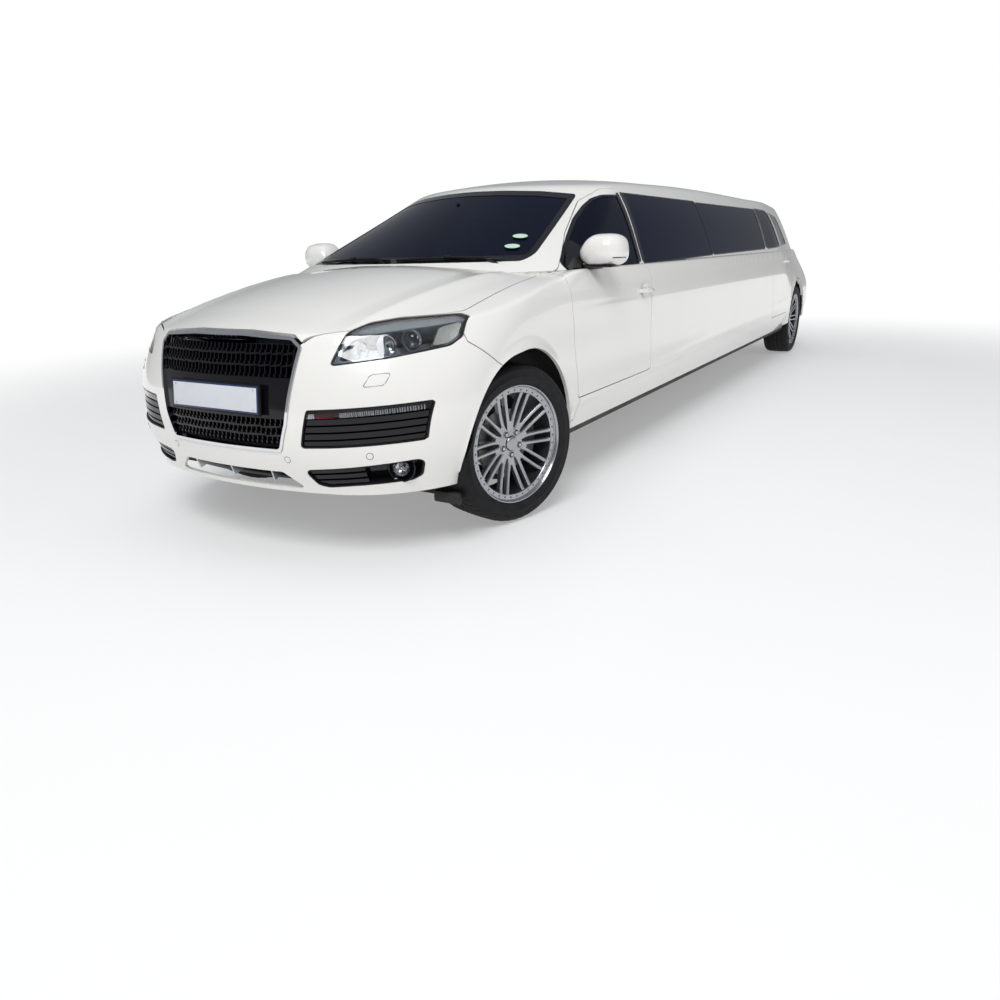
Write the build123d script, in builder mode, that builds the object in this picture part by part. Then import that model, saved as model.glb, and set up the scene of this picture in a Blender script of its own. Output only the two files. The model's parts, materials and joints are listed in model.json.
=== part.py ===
"""Stretch limousine on a large estate car, in millimetres: X forward, Y to the left, Z up."""
from build123d import *
import os
from functools import lru_cache
from math import cos, radians, sin

os.makedirs("parts", exist_ok=True)

# Overall sizes
WHEELBASE = 6558
FRONT_OVERHANG = 950
REAR_OVERHANG = 1134
FRONT_AXLE = (WHEELBASE + REAR_OVERHANG - FRONT_OVERHANG) / 2
REAR_AXLE = FRONT_AXLE - WHEELBASE
BEYOND = 3000

# Thicknesses and gaps
SKIN = 6
WALL = 80
PILLAR = 45
ROOF_THICK = 36
SEAT_GAP = 0.3
SHUT_GAP = 8
POCKET = 26
GLASS_THICK = 5
GLASS_SINK = 3

# Wheels
TYRE_RADIUS = 377.5
TYRE_WIDTH = 275
RIM_RADIUS = 280
RIM_WIDTH = 250
TRACK_FRONT = 1651
TRACK_REAR = 1676
ARCH_RADIUS = 432
ARCH_CENTRE_Z = 388
FLARE_HALF = 991.5
REST_STEER = -16
KINGPIN_INSET = 30
LINER_RADIUS = 450

# Floor and cabin
SILL_Z = 372
FLOOR_LOW = 250
FLOOR_TOP = 330
FIREWALL = 430
RAISED_FLOOR = (600, 630)
TUNNEL = 125
ROOF_SPLIT_Y = 640

# Body levels. Columns: height, then ahead of the front axle the nose, the corner (x, y) and the
# start of the straight side, the half width, then behind the rear axle the tail, its corner (x, y)
# and the end of the straight side
LOWER_LEVELS = (
    (300, 900, 815, 560, 300, 915, 1060, 950, 620, 560),
    (480, 950, 872, 560, 265, 979, 1130, 1000, 680, 560),
    (760, 940, 848, 560, 240, 976, 1134, 990, 690, 560),
    (1040, 862, 700, 560, -100, 957, 1078, 930, 680, 560),
    (1200, 780, 560, 560, -300, 900, 1010, 860, 640, 520),
)
UPPER_LEVELS = (
    (1090, -11, -253, 783, -637, 921, 1056, 890, 660, 495),
    (1565, -1110, -1350, 585, -1640, 712, 735, 600, 500, 250),
    (1720, -1470, -1660, 500, -1850, 600, 640, 520, 430, 200),
)

# Crowned tops. Columns: x, height on the centre line, drop at CROWN_HALF from it
CROWN_HALF = 1050
BONNET_TOP = (
    (FRONT_AXLE + 1020, 880, 170),
    (FRONT_AXLE + 880, 952, 170),
    (FRONT_AXLE + 640, 1032, 170),
    (FRONT_AXLE + 300, 1115, 170),
    (FRONT_AXLE - 320, 1190, 120),
    (FRONT_AXLE - 700, 1165, 30),
    (REAR_AXLE - REAR_OVERHANG - 50, 1165, 30),
)
ROOF_TOP = (
    (FRONT_AXLE, 1450, 125),
    (FRONT_AXLE - 1150, 1602, 125),
    (FRONT_AXLE - 1700, 1668, 125),
    (FRONT_AXLE - 2600, 1700, 125),
    (REAR_AXLE + 1300, 1700, 125),
    (REAR_AXLE - 200, 1676, 125),
    (REAR_AXLE - 1000, 1600, 125),
)


def front(u):
    """X of a place u behind the front axle."""
    return FRONT_AXLE - u


def rear(u):
    """X of a place u ahead of the rear axle."""
    return REAR_AXLE + u


def corner_point(side_x, half, corner_x, corner_y, inset):
    """End of a corner arc that leaves the straight side at its tangent, moved in by the inset."""
    run, drop = corner_x - side_x, half - corner_y
    radius = (run * run + drop * drop) / (2 * drop)
    normal = (run / radius, (corner_y - half + radius) / radius)
    return corner_x - inset * normal[0], corner_y - inset * normal[1]


def level_loft(levels, inset):
    """Solid through plan outlines of nose arc, corner arcs, straight sides and tail arcs."""
    with BuildPart() as block:
        for z, nose, nose_x, nose_y, nose_side, half, tail, tail_x, tail_y, tail_side in levels:
            ahead = corner_point(front(-nose_side), half, front(-nose_x), nose_y, inset)
            behind = corner_point(rear(-tail_side), half, rear(-tail_x), tail_y, inset)
            side_front = (front(-nose_side), half - inset)
            side_rear = (rear(-tail_side), half - inset)
            with BuildSketch(Plane.XY.offset(z)):
                with BuildLine():
                    Line(side_rear, side_front)
                    TangentArc(side_front, ahead, tangent=(1, 0))
                    TangentArc(side_rear, behind, tangent=(-1, 0))
                    mirror(about=Plane.XZ)
                    ThreePointArc(ahead, (front(-nose) - inset, 0), (ahead[0], -ahead[1]))
                    ThreePointArc(behind, (rear(-tail) + inset, 0), (behind[0], -behind[1]))
                make_face()
        loft(ruled=True)
    return block.part


def crowned(stations, inset):
    """Solid under a surface that is crowned across and follows its stations along."""
    with BuildPart() as form:
        for x, height, drop in stations:
            edge = height - inset - drop
            with BuildSketch(Plane.YZ.offset(x)):
                with BuildLine():
                    ThreePointArc((-CROWN_HALF, edge), (0, height - inset), (CROWN_HALF, edge))
                    Polyline((CROWN_HALF, edge), (CROWN_HALF, 0), (-CROWN_HALF, 0), (-CROWN_HALF, edge))
                make_face()
        loft(ruled=True)
    return form.part


@lru_cache(maxsize=None)
def body(lower_inset, upper_inset, top_inset):
    """Whole body form, from sill to roof, moved in by its three insets."""
    with BuildPart() as whole:
        add(level_loft(UPPER_LEVELS, upper_inset))
        add(crowned(ROOF_TOP, top_inset), mode=Mode.INTERSECT)
        add(level_loft(LOWER_LEVELS, lower_inset) & crowned(BONNET_TOP, top_inset))
    return whole.part


def block(x_range, y_range, z_range):
    """Plain block between three pairs of limits."""
    with BuildPart() as solid:
        with BuildSketch(Plane.XY.offset(z_range[0])):
            with Locations(((x_range[0] + x_range[1]) / 2, (y_range[0] + y_range[1]) / 2)):
                Rectangle(x_range[1] - x_range[0], y_range[1] - y_range[0])
        extrude(amount=z_range[1] - z_range[0])
    return solid.part


def side_prism(points, grow=0, y_range=(-BEYOND, BEYOND)):
    """Side view outline through the body, from one y to the other."""
    with BuildPart() as solid:
        with BuildSketch(Plane.XZ.offset(-y_range[1])):
            with BuildLine():
                Polyline(*points, close=True)
            make_face()
            if grow:
                offset(amount=grow, kind=Kind.INTERSECTION)
        extrude(amount=y_range[1] - y_range[0])
    return solid.part


def crown_height(stations, x, y):
    """Height of a crowned top at one place."""
    for (x1, z1, drop1), (x2, z2, drop2) in zip(stations, stations[1:]):
        if x2 <= x <= x1:
            share = (x1 - x) / (x1 - x2)
            drop = drop1 + share * (drop2 - drop1)
            radius = (CROWN_HALF ** 2 + drop ** 2) / (2 * drop)
            return z1 + share * (z2 - z1) - radius + (radius ** 2 - y ** 2) ** 0.5
    raise ValueError(f"no crowned station at x {x}")


def front_prism(points, grow=0, x_range=(-BEYOND, BEYOND)):
    """Front view outline through the body, from one x to the other."""
    with BuildPart() as solid:
        with BuildSketch(Plane.YZ.offset(x_range[0])):
            with BuildLine():
                Polyline(*points, close=True)
            make_face()
            if grow:
                offset(amount=grow, kind=Kind.INTERSECTION)
        extrude(amount=x_range[1] - x_range[0])
    return solid.part


def plan_prism(points, grow=0, z_range=(0, 2000)):
    """Plan outline, from one height to the other."""
    with BuildPart() as solid:
        with BuildSketch(Plane.XY.offset(z_range[0])):
            with BuildLine():
                Polyline(*points, close=True)
            make_face()
            if grow:
                offset(amount=grow, kind=Kind.INTERSECTION)
        extrude(amount=z_range[1] - z_range[0])
    return solid.part


def bars(x_range, y_range, heights, half_height):
    """Level bars one above another."""
    with BuildPart() as stack:
        for z in heights:
            add(block(x_range, y_range, (z - half_height, z + half_height)))
    return stack.part


def cylinder_y(x, z, radius, y_range):
    """Round bar across the car."""
    with BuildPart() as solid:
        with BuildSketch(Plane.XZ.offset(-y_range[1])):
            with Locations((x, z)):
                Circle(radius)
        extrude(amount=y_range[1] - y_range[0])
    return solid.part


def cylinder_x(y, z, radius, x_range):
    """Round bar along the car."""
    with BuildPart() as solid:
        with BuildSketch(Plane.YZ.offset(x_range[0])):
            with Locations((y, z)):
                Circle(radius)
        extrude(amount=x_range[1] - x_range[0])
    return solid.part


def cylinder_z(x, y, radius, z_range):
    """Upright round bar."""
    with BuildPart() as solid:
        with BuildSketch(Plane.XY.offset(z_range[0])):
            with Locations((x, y)):
                Circle(radius)
        extrude(amount=z_range[1] - z_range[0])
    return solid.part


def mirrored(points):
    """The same front or plan outline on the other side of the car."""
    return [(-y, z) for y, z in reversed(points)]


def save(part, name):
    """Label one node and write it out."""
    part.label = name
    export_step(part, f"parts/{name}.step")


# Body forms that the panels are cut from
OUTER = body(0, 0, 0)
UNDER_SKIN = body(SKIN, SKIN, SKIN)
UNDER_SEAT = body(SKIN + SEAT_GAP, SKIN + SEAT_GAP, SKIN + SEAT_GAP)
CABIN = body(WALL, PILLAR, ROOF_THICK)
CABIN_SEAT = body(WALL + SEAT_GAP, PILLAR + SEAT_GAP, ROOF_THICK + SEAT_GAP)
LEFT_HALF = block((-BEYOND * 2, BEYOND * 2), (0, BEYOND), (0, BEYOND))

# Side view outlines, as distances behind the front axle or ahead of the rear axle, and heights
FRONT_DOOR = [(front(u), z) for u, z in (
    (535, 500), (490, 1020), (478, 1130), (560, 1150), (870, 1322), (1255, 1505), (1500, 1578), (1700, 1590),
    (1662, 1100), (1620, 500))]
FRONT_DOOR_GLASS = [(front(u), z) for u, z in (
    (700, 1160), (888, 1272), (1268, 1458), (1490, 1545), (1640, 1558), (1612, 1140))]
REAR_DOOR = [(rear(u), z) for u, z in (
    (1300, 500), (1358, 1050), (1362, 1130), (1300, 1590), (760, 1582), (640, 1550), (420, 1190),
    (400, 950), (470, 750), (540, 500))]
REAR_DOOR_GLASS = [(rear(u), z) for u, z in (
    (1305, 1185), (1262, 1558), (770, 1550), (690, 1525), (500, 1205))]
STRETCH_PANES = [
    [(front(1700), 1145), (front(1762), 1560), (front(3220), 1560), (front(3060), 1162)],
    [(front(3075), 1162), (front(3235), 1560), (rear(1352), 1560), (rear(1412), 1183)],
]
QUARTER_GLASS = [(rear(u), z) for u, z in ((370, 1212), (560, 1535), (-120, 1500), (-400, 1230))]
TAILGATE = [(rear(-u), z) for u, z in (
    (440, 1760), (530, 1600), (640, 1250), (790, 1050), (860, 800), (1300, 800), (1300, 1760))]
REAR_BUMPER = [(rear(-u), z) for u, z in (
    (0, 388), (420, 660), (846, 792), (1300, 792), (1300, 250), (0, 250))]
FENDER = [(front(u), z) for u, z in (
    (0, 388), (-238, 779), (-398, 895), (-420, 1215), (455, 1215), (455, 1120), (560, 1090),
    (560, SILL_Z), (0, SILL_Z))]
FRONT_BUMPER = [(front(u), z) for u, z in (
    (0, 388), (-238, 779), (-398, 895), (-420, 1215), (-1100, 1215), (-1100, 250), (0, 250))]
BODY_SIDE = [(front(u), z) for u, z in ((400, SILL_Z), (400, 1120), (0, 1150), (0, 1800))] + [
    (rear(u), z) for u, z in ((-1300, 1800), (-1300, 250), (-600, 250), (-600, SILL_Z))]

# Front view outlines, left half, as distances from the centre line and heights
WINDSCREEN = [(740, 1197), (590, 1572), (300, 1612), (0, 1624), (-300, 1612), (-590, 1572), (-740, 1197)]
GRILLE = [(424, 905), (330, 500), (-330, 500), (-424, 905), (0, 938)]
HEADLAMP = [(534, 834), (581, 957), (671, 993), (841, 991), (856, 900), (741, 838)]
VENT = [(433, 651), (879, 680), (862, 530), (416, 505)]
FOG_OPENING = [(402, 410), (841, 446), (805, 345), (470, 336)]
INTAKE = [(300, 400), (330, 345), (-330, 345), (-300, 400)]
TAIL_GLASS = [(640, 1205), (520, 1560), (-520, 1560), (-640, 1205)]
TAIL_LAMP = [(520, 960), (560, 1110), (1000, 1130), (1000, 870), (700, 880)]

# Plan outline of the bonnet, ahead of the front axle, left half from the cowl to the nose
BONNET = [(-185, 0), (-235, 350), (-400, 790), (-380, 830), (250, 838), (300, 835), (591, 671),
          (723, 581), (838, 414), (1100, 414)]
BONNET_EDGE_Z = 915
BONNET_THICK = 26


def bonnet_outline(rear_gap=0):
    """Whole plan outline of the bonnet, its cowl edge moved back by the gap."""
    half = [(FRONT_AXLE + x - (rear_gap if x < 0 else 0), y) for x, y in BONNET]
    return half + [(x, -y) for x, y in reversed(half[1:])]


@lru_cache(maxsize=None)
def nose(inset):
    """Front end of the body form, moved in by the inset."""
    ahead = block((front(0), front(-FRONT_OVERHANG - 50)), (-1100, 1100), (200, 1300))
    return level_loft(LOWER_LEVELS, inset) & crowned(BONNET_TOP, inset) & ahead


@lru_cache(maxsize=None)
def tail(inset):
    """Rear end of the body form, moved in by the inset."""
    return body(inset, inset, inset) & block((rear(-REAR_OVERHANG - 50), rear(-300)), (-1100, 1100), (200, 1800))


def nose_band(outline, sink, depth):
    """Layer of the front end between two depths under the paint, inside an outline prism."""
    return (outline & nose(sink)) - nose(depth)


def opposite(piece):
    """The piece and its mirror image on the right."""
    return piece + mirror(piece, about=Plane.XZ)


def arch(x, radius, y_range):
    """Round wheel opening on the left."""
    return cylinder_y(x, ARCH_CENTRE_Z, radius, y_range)


def door_aperture(outline):
    """Gap round a door: narrow in the outer skin and wide in the pillars behind it."""
    with BuildPart() as aperture:
        add(side_prism(outline, POCKET, y_range=(ROOF_SPLIT_Y, 1200)) & UNDER_SKIN)
        add(side_prism(outline, SHUT_GAP, y_range=(ROOF_SPLIT_Y, 1200)))
    return aperture.part


SKIN_SHELL = OUTER - UNDER_SKIN
WALL_SHELL = OUTER - CABIN
ALL_GLASS_CUTS = [side_prism(pane, SEAT_GAP, y_range=(500, 1200)) for pane in STRETCH_PANES]
ALL_GLASS_CUTS.append(side_prism(QUARTER_GLASS, SEAT_GAP, y_range=(500, 1200)))
APERTURES = [door_aperture(outline) for outline in (FRONT_DOOR, REAR_DOOR)]

# Flares round the wheel openings, on the fender and the body side
FLARE_WIDTH = 52


def flare(x):
    """Raised ring round a wheel opening on the left."""
    with BuildPart() as ring:
        with BuildSketch(Plane.XZ.offset(-FLARE_HALF)):
            with Locations((x, ARCH_CENTRE_Z)):
                Circle(ARCH_RADIUS + FLARE_WIDTH / 2)
        extrude(amount=FLARE_HALF - 930, taper=-35)
        add(arch(x, ARCH_RADIUS, (800, 1100)), mode=Mode.SUBTRACT)
        add(UNDER_SKIN, mode=Mode.SUBTRACT)
        add(block((-BEYOND * 2, BEYOND * 2), (900, 1000), (SILL_Z, 1000)), mode=Mode.INTERSECT)
    return ring.part


# Slot for the left bonnet arm
BONNET_PIN_X = front(462)
BONNET_PIN_Z = 1126
BONNET_HINGE_Y = 560
ARM_SLOT = block((BONNET_PIN_X - 20, BONNET_PIN_X + 160), (BONNET_HINGE_Y - 16, BONNET_HINGE_Y + 16),
                 (BONNET_PIN_Z - 18, 1300))

# Fenders
FRONT_CUTS = (FRONT_AXLE + 150, FRONT_AXLE + 1000)
SCREEN_X = (front(1500), front(0))
with BuildPart() as fender_left:
    add(SKIN_SHELL & side_prism(FENDER, y_range=(300, 1200)))
    add(flare(FRONT_AXLE) & side_prism(FENDER, y_range=(300, 1200)))
    add(arch(FRONT_AXLE, ARCH_RADIUS, (300, 1200)), mode=Mode.SUBTRACT)
    add(side_prism(FRONT_DOOR, SHUT_GAP, y_range=(300, 1200)), mode=Mode.SUBTRACT)
    add(plan_prism(bonnet_outline(SHUT_GAP), SHUT_GAP, (900, 1300)), mode=Mode.SUBTRACT)
    add(front_prism(HEADLAMP, SEAT_GAP, x_range=FRONT_CUTS), mode=Mode.SUBTRACT)
    add(front_prism(WINDSCREEN, SHUT_GAP, x_range=SCREEN_X), mode=Mode.SUBTRACT)
    add(ARM_SLOT, mode=Mode.SUBTRACT)
fenders = opposite(fender_left.part)
save(fenders, "fenders")

# Front bumper with its openings
with BuildPart() as bumper_left:
    add(SKIN_SHELL & LEFT_HALF & side_prism(FRONT_BUMPER, -1))
    add(flare(FRONT_AXLE) & side_prism(FRONT_BUMPER, -1, y_range=(300, 1200)))
    add(arch(FRONT_AXLE, ARCH_RADIUS, (300, 1200)), mode=Mode.SUBTRACT)
    add(plan_prism(bonnet_outline(), SHUT_GAP, (BONNET_EDGE_Z - SHUT_GAP, 1300)), mode=Mode.SUBTRACT)
    for outline in (GRILLE, HEADLAMP, VENT, FOG_OPENING, INTAKE):
        add(front_prism(outline, SEAT_GAP, x_range=FRONT_CUTS),
            mode=Mode.SUBTRACT)
front_bumper = opposite(bumper_left.part)
save(front_bumper, "front_bumper")

# Bonnet
FORE_BODY = OUTER & block((front(600), front(-FRONT_OVERHANG - 50)), (-1100, 1100), (200, 1300))
with BuildPart() as bonnet:
    add(FORE_BODY & plan_prism(bonnet_outline(), 0, (BONNET_EDGE_Z, 1300)))
    add(FORE_BODY.moved(Location((0, 0, -BONNET_THICK))), mode=Mode.SUBTRACT)
    add(front_prism(GRILLE, SHUT_GAP, x_range=FRONT_CUTS), mode=Mode.SUBTRACT)
    for outline in (HEADLAMP, mirrored(HEADLAMP)):
        add(front_prism(outline, SHUT_GAP, x_range=FRONT_CUTS), mode=Mode.SUBTRACT)
    for y in (BONNET_HINGE_Y, -BONNET_HINGE_Y):
        add(block((BONNET_PIN_X, BONNET_PIN_X + 180), (y - 10, y + 10), (BONNET_PIN_Z - 9, BONNET_PIN_Z + 9)))
        add(cylinder_y(BONNET_PIN_X, BONNET_PIN_Z, 10, (y - 10, y + 10)))
save(bonnet.part, "bonnet")

# Cross pin of the tailgate behind the roof edge, and the space its front lip turns through
TAIL_PIN_X = rear(-556)
TAIL_PIN_Z = 1594
TAIL_HINGE_Y = 350
TAIL_LIP_RADIUS = 76
TAIL_LIP_SWEEP = cylinder_y(TAIL_PIN_X, TAIL_PIN_Z, TAIL_LIP_RADIUS, (-700, 700)) & UNDER_SKIN

# Body side with pillars, sills and cowl
ROOF_BLOCK = block((rear(-BEYOND), front(1150)), (-ROOF_SPLIT_Y, ROOF_SPLIT_Y), (1300, 1800))
with BuildPart() as side_left:
    add(WALL_SHELL & LEFT_HALF & side_prism(BODY_SIDE))
    add(side_prism(FENDER, 1, y_range=(300, 1200)) - UNDER_SEAT, mode=Mode.SUBTRACT)
    add(plan_prism(bonnet_outline(POCKET), SHUT_GAP, (900, 1300)), mode=Mode.SUBTRACT)
    add(flare(REAR_AXLE))
    add(arch(REAR_AXLE, ARCH_RADIUS, (300, 1200)), mode=Mode.SUBTRACT)
    for axle_x in (FRONT_AXLE, REAR_AXLE):
        add(arch(axle_x, LINER_RADIUS + 5, (300, 1200)) & UNDER_SKIN, mode=Mode.SUBTRACT)
    add(ROOF_BLOCK, mode=Mode.SUBTRACT)
    for cut in APERTURES + ALL_GLASS_CUTS:
        add(cut, mode=Mode.SUBTRACT)
    add(front_prism(WINDSCREEN, SEAT_GAP, x_range=SCREEN_X), mode=Mode.SUBTRACT)
    add(side_prism(TAILGATE, SHUT_GAP + 1), mode=Mode.SUBTRACT)
    add(side_prism(REAR_BUMPER, 1), mode=Mode.SUBTRACT)
    add(TAIL_LIP_SWEEP, mode=Mode.SUBTRACT)
    add(ARM_SLOT, mode=Mode.SUBTRACT)
    add(cylinder_y(BONNET_PIN_X, BONNET_PIN_Z, 9, (BONNET_HINGE_Y + 10 + SEAT_GAP, BONNET_HINGE_Y + 24)))

# Roof panel with the fixed leaves of the tailgate hinges
with BuildPart() as roof:
    add(ROOF_BLOCK & OUTER)
    add(CABIN, mode=Mode.SUBTRACT)
    add(front_prism(WINDSCREEN, SEAT_GAP, x_range=SCREEN_X), mode=Mode.SUBTRACT)
    add(side_prism(TAILGATE, SHUT_GAP + 1), mode=Mode.SUBTRACT)
    add(TAIL_LIP_SWEEP, mode=Mode.SUBTRACT)
    for y in (TAIL_HINGE_Y, -TAIL_HINGE_Y):
        across = (y - 25, y + 25)
        add(cylinder_y(TAIL_PIN_X, TAIL_PIN_Z, 10, across))
        add(block((TAIL_PIN_X - 8, TAIL_PIN_X + 8), across, (TAIL_PIN_Z - 70, TAIL_PIN_Z)))
        add(block((TAIL_PIN_X - 8, TAIL_PIN_X + 150), across, (TAIL_PIN_Z - 70, TAIL_PIN_Z - 56)))
        add(block((TAIL_PIN_X + 110, TAIL_PIN_X + 150), across, (TAIL_PIN_Z - 70, TAIL_PIN_Z + 30)))
save(roof.part, "roof_panel")

# Rear bumper
with BuildPart() as rear_bumper_left:
    add(SKIN_SHELL & LEFT_HALF & side_prism(REAR_BUMPER))
    add(flare(REAR_AXLE) & side_prism(REAR_BUMPER, y_range=(300, 1200)))
    add(arch(REAR_AXLE, ARCH_RADIUS, (300, 1200)), mode=Mode.SUBTRACT)
rear_bumper = opposite(rear_bumper_left.part)
save(rear_bumper, "rear_bumper")

# Tailgate, its window and lamps
TAIL_X = (rear(-1300), rear(-400))
LAMP_DEPTH = 30
with BuildPart() as tailgate:
    add(WALL_SHELL & side_prism(TAILGATE))
    add(front_prism(TAIL_GLASS, SEAT_GAP, x_range=TAIL_X), mode=Mode.SUBTRACT)
    for outline in (TAIL_LAMP, mirrored(TAIL_LAMP)):
        add(front_prism(outline, SEAT_GAP, x_range=TAIL_X) - tail(LAMP_DEPTH), mode=Mode.SUBTRACT)
    for y in (TAIL_HINGE_Y, -TAIL_HINGE_Y):
        add(block((TAIL_PIN_X - 14, TAIL_PIN_X + 200), (y - 31, y + 31), (1400, TAIL_PIN_Z + 12)),
            mode=Mode.SUBTRACT)
        for end in (-1, 1):
            pin_end = sorted((y + end * (25 + SEAT_GAP), y + end * 35))
            add(cylinder_y(TAIL_PIN_X, TAIL_PIN_Z, 10, pin_end))
save(tailgate.part, "tailgate")
save((tail(GLASS_SINK) - tail(GLASS_SINK + GLASS_THICK)) & front_prism(TAIL_GLASS, x_range=TAIL_X), "tail_glass")
tail_lamp = (tail(0) - tail(LAMP_DEPTH - SEAT_GAP)) & front_prism(TAIL_LAMP, x_range=TAIL_X) & side_prism(
    TAILGATE, -1)
save(opposite(tail_lamp), "tail_lamps")

# Windscreen and fixed side windows
GLASS_SHELL = body(GLASS_SINK, GLASS_SINK, GLASS_SINK) - body(
    GLASS_SINK + GLASS_THICK, GLASS_SINK + GLASS_THICK, GLASS_SINK + GLASS_THICK)
save(GLASS_SHELL & front_prism(WINDSCREEN, x_range=SCREEN_X), "windscreen")
with BuildPart() as fixed_glass_left:
    for pane in STRETCH_PANES + [QUARTER_GLASS]:
        add(GLASS_SHELL & side_prism(pane, y_range=(500, 1200)))
save(opposite(fixed_glass_left.part), "side_windows")

# Doors. Each turns on an upright pin behind its front edge
HINGE_Y = 950
HINGE_BACK = 60
HINGE_BARREL = 10
HINGE_ZS = (600, 900)
HINGE_LEAF = 50
HINGE_PLAY = 6
HINGE_REACH = 110
HANDLE_SIZE = (150, 26, 32)


def door(outline, glass, hinge_x, handle_x, handle_z):
    """One left door with its window opening, hinge notches and pull handle."""
    with BuildPart() as leaf:
        add(WALL_SHELL & side_prism(outline, y_range=(ROOF_SPLIT_Y + SHUT_GAP, 1200)))
        add(side_prism(glass, SEAT_GAP, y_range=(500, 1200)), mode=Mode.SUBTRACT)
        for z in HINGE_ZS:
            add(block((hinge_x - HINGE_BARREL - 4, hinge_x + 200), (800, HINGE_Y + HINGE_BARREL + 2),
                      (z - HINGE_PLAY, z + HINGE_LEAF + HINGE_PLAY)), mode=Mode.SUBTRACT)
            add(cylinder_z(hinge_x, HINGE_Y, HINGE_BARREL, (z - HINGE_PLAY - 2, z - SEAT_GAP)))
        add(block((handle_x - HANDLE_SIZE[0] / 2, handle_x + HANDLE_SIZE[0] / 2),
                  (960, 960 + HANDLE_SIZE[1] + 6), (handle_z, handle_z + HANDLE_SIZE[2])))
        add(CABIN, mode=Mode.SUBTRACT)
    return leaf.part


def hinge_brackets(hinge_x):
    """Fixed hinge leaves of one left door, from the pin inboard and forward to the pillar."""
    with BuildPart() as brackets:
        for z in HINGE_ZS:
            span = (z, z + HINGE_LEAF)
            add(cylinder_z(hinge_x, HINGE_Y, HINGE_BARREL, span))
            add(block((hinge_x - 8, hinge_x + 8), (HINGE_Y - HINGE_REACH, HINGE_Y), span))
            add(block((hinge_x - 8, hinge_x + 150), (HINGE_Y - HINGE_REACH, HINGE_Y - HINGE_REACH + 14), span))
        add(block((hinge_x + 132, hinge_x + 175), (HINGE_Y - HINGE_REACH, HINGE_Y - 20), (560, 1000)))
    return brackets.part


DOOR_TABLE = (
    ("front", FRONT_DOOR, FRONT_DOOR_GLASS, front(535 + HINGE_BACK), front(1488), 955),
    ("rear", REAR_DOOR, REAR_DOOR_GLASS, rear(1300 - HINGE_BACK), rear(560), 985),
)
for place, outline, glass, hinge_x, handle_x, handle_z in DOOR_TABLE:
    leaf = door(outline, glass, hinge_x, handle_x, handle_z)
    pane = GLASS_SHELL & side_prism(glass, y_range=(500, 1200))
    save(leaf, f"door_{place}_left")
    save(mirror(leaf, about=Plane.XZ), f"door_{place}_right")
    save(pane, f"door_glass_{place}_left")
    save(mirror(pane, about=Plane.XZ), f"door_glass_{place}_right")

body_sides = side_left.part
for place, outline, glass, hinge_x, handle_x, handle_z in DOOR_TABLE:
    body_sides = body_sides + hinge_brackets(hinge_x)
body_sides = opposite(body_sides)
save(body_sides, "body_sides")

# Door mirrors
with BuildPart() as mirror_left:
    with BuildSketch(Plane.YZ.offset(front(905))):
        with Locations((1004, 1232)):
            RectangleRounded(176, 158, 40)
    with BuildSketch(Plane.YZ.offset(front(830))):
        with Locations((998, 1232)):
            RectangleRounded(184, 160, 50)
    with BuildSketch(Plane.YZ.offset(front(760))):
        with Locations((994, 1232)):
            RectangleRounded(130, 110, 44)
    loft(ruled=True)
    add(block((front(850), front(800)), (900, 985), (1165, 1195)))
    add(OUTER, mode=Mode.SUBTRACT)
for side, piece in (("left", mirror_left.part), ("right", mirror(mirror_left.part, about=Plane.XZ))):
    save(piece, f"mirror_{side}")

# Grille: chrome frame, bars, ribs and a dark backing
GRILLE_BARS = (530, 566, 602, 640, 790, 820, 850, 880)
PLATE_BAND = (650, 780)
GRILLE_X = (FRONT_AXLE + 600, FRONT_AXLE + 1000)
grille_area = front_prism(GRILLE, x_range=GRILLE_X)
save(nose_band(grille_area - front_prism(GRILLE, -16, x_range=GRILLE_X), 0, 40), "grille_frame")
grille_inner = front_prism(GRILLE, -16 - SEAT_GAP, x_range=GRILLE_X)
with BuildPart() as grille_bars:
    add(nose_band(grille_inner, 34, 40))
    add(nose_band(bars(GRILLE_X, (-430, 430), GRILLE_BARS, 5) & grille_inner, 8, 36))
    add(nose_band(block(GRILLE_X, (-330, 330), PLATE_BAND) & grille_inner, 8, 36))
save(grille_bars.part, "grille_bars")

# Headlamps: clear lens over a housing
lamp_prism = front_prism(HEADLAMP, x_range=(FRONT_AXLE + 200, FRONT_AXLE + 900))
lamp_lens = nose_band(lamp_prism, 1, 5)
lamp_body = nose_band(lamp_prism, 5 + SEAT_GAP, 90)
save(opposite(lamp_lens), "headlamp_lenses")
save(opposite(lamp_body), "headlamp_housings")

# Side vents and fog lamp openings of the bumper
VENT_X = (FRONT_AXLE + 400, FRONT_AXLE + 1000)
with BuildPart() as vent_left:
    for outline, slats in ((VENT, (540, 570, 600, 632)), (FOG_OPENING, (372, 392))):
        area = front_prism(outline, x_range=VENT_X)
        add(nose_band(area, 32, 38))
        add(nose_band(bars(VENT_X, (350, 900), slats, 8) & area, 8, 34))
save(opposite(vent_left.part), "bumper_vents")
INTAKE_STRUTS = (-200, -70, 70, 200)
with BuildPart() as intake:
    area = front_prism(INTAKE, x_range=VENT_X)
    add(nose_band(area, 30, 36))
    for y in INTAKE_STRUTS:
        add(nose_band(block(VENT_X, (y - 5, y + 5), (300, 420)) & area, 6, 31))
save(intake.part, "lower_intake")

# Wheels, each built on a plane whose normal is the axle's outboard direction


def wheel_plane(axle_x, track, side, steer, inset):
    """Centre plane of a wheel, turned about its upright kingpin."""
    ahead = (cos(radians(steer)), sin(radians(steer)), 0)
    outboard = (-side * ahead[1], side * ahead[0], 0)
    pin_y = side * (track / 2 - inset)
    centre = (axle_x + inset * outboard[0], pin_y + inset * outboard[1], TYRE_RADIUS)
    return Plane(origin=centre, x_dir=ahead, z_dir=outboard)


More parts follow.
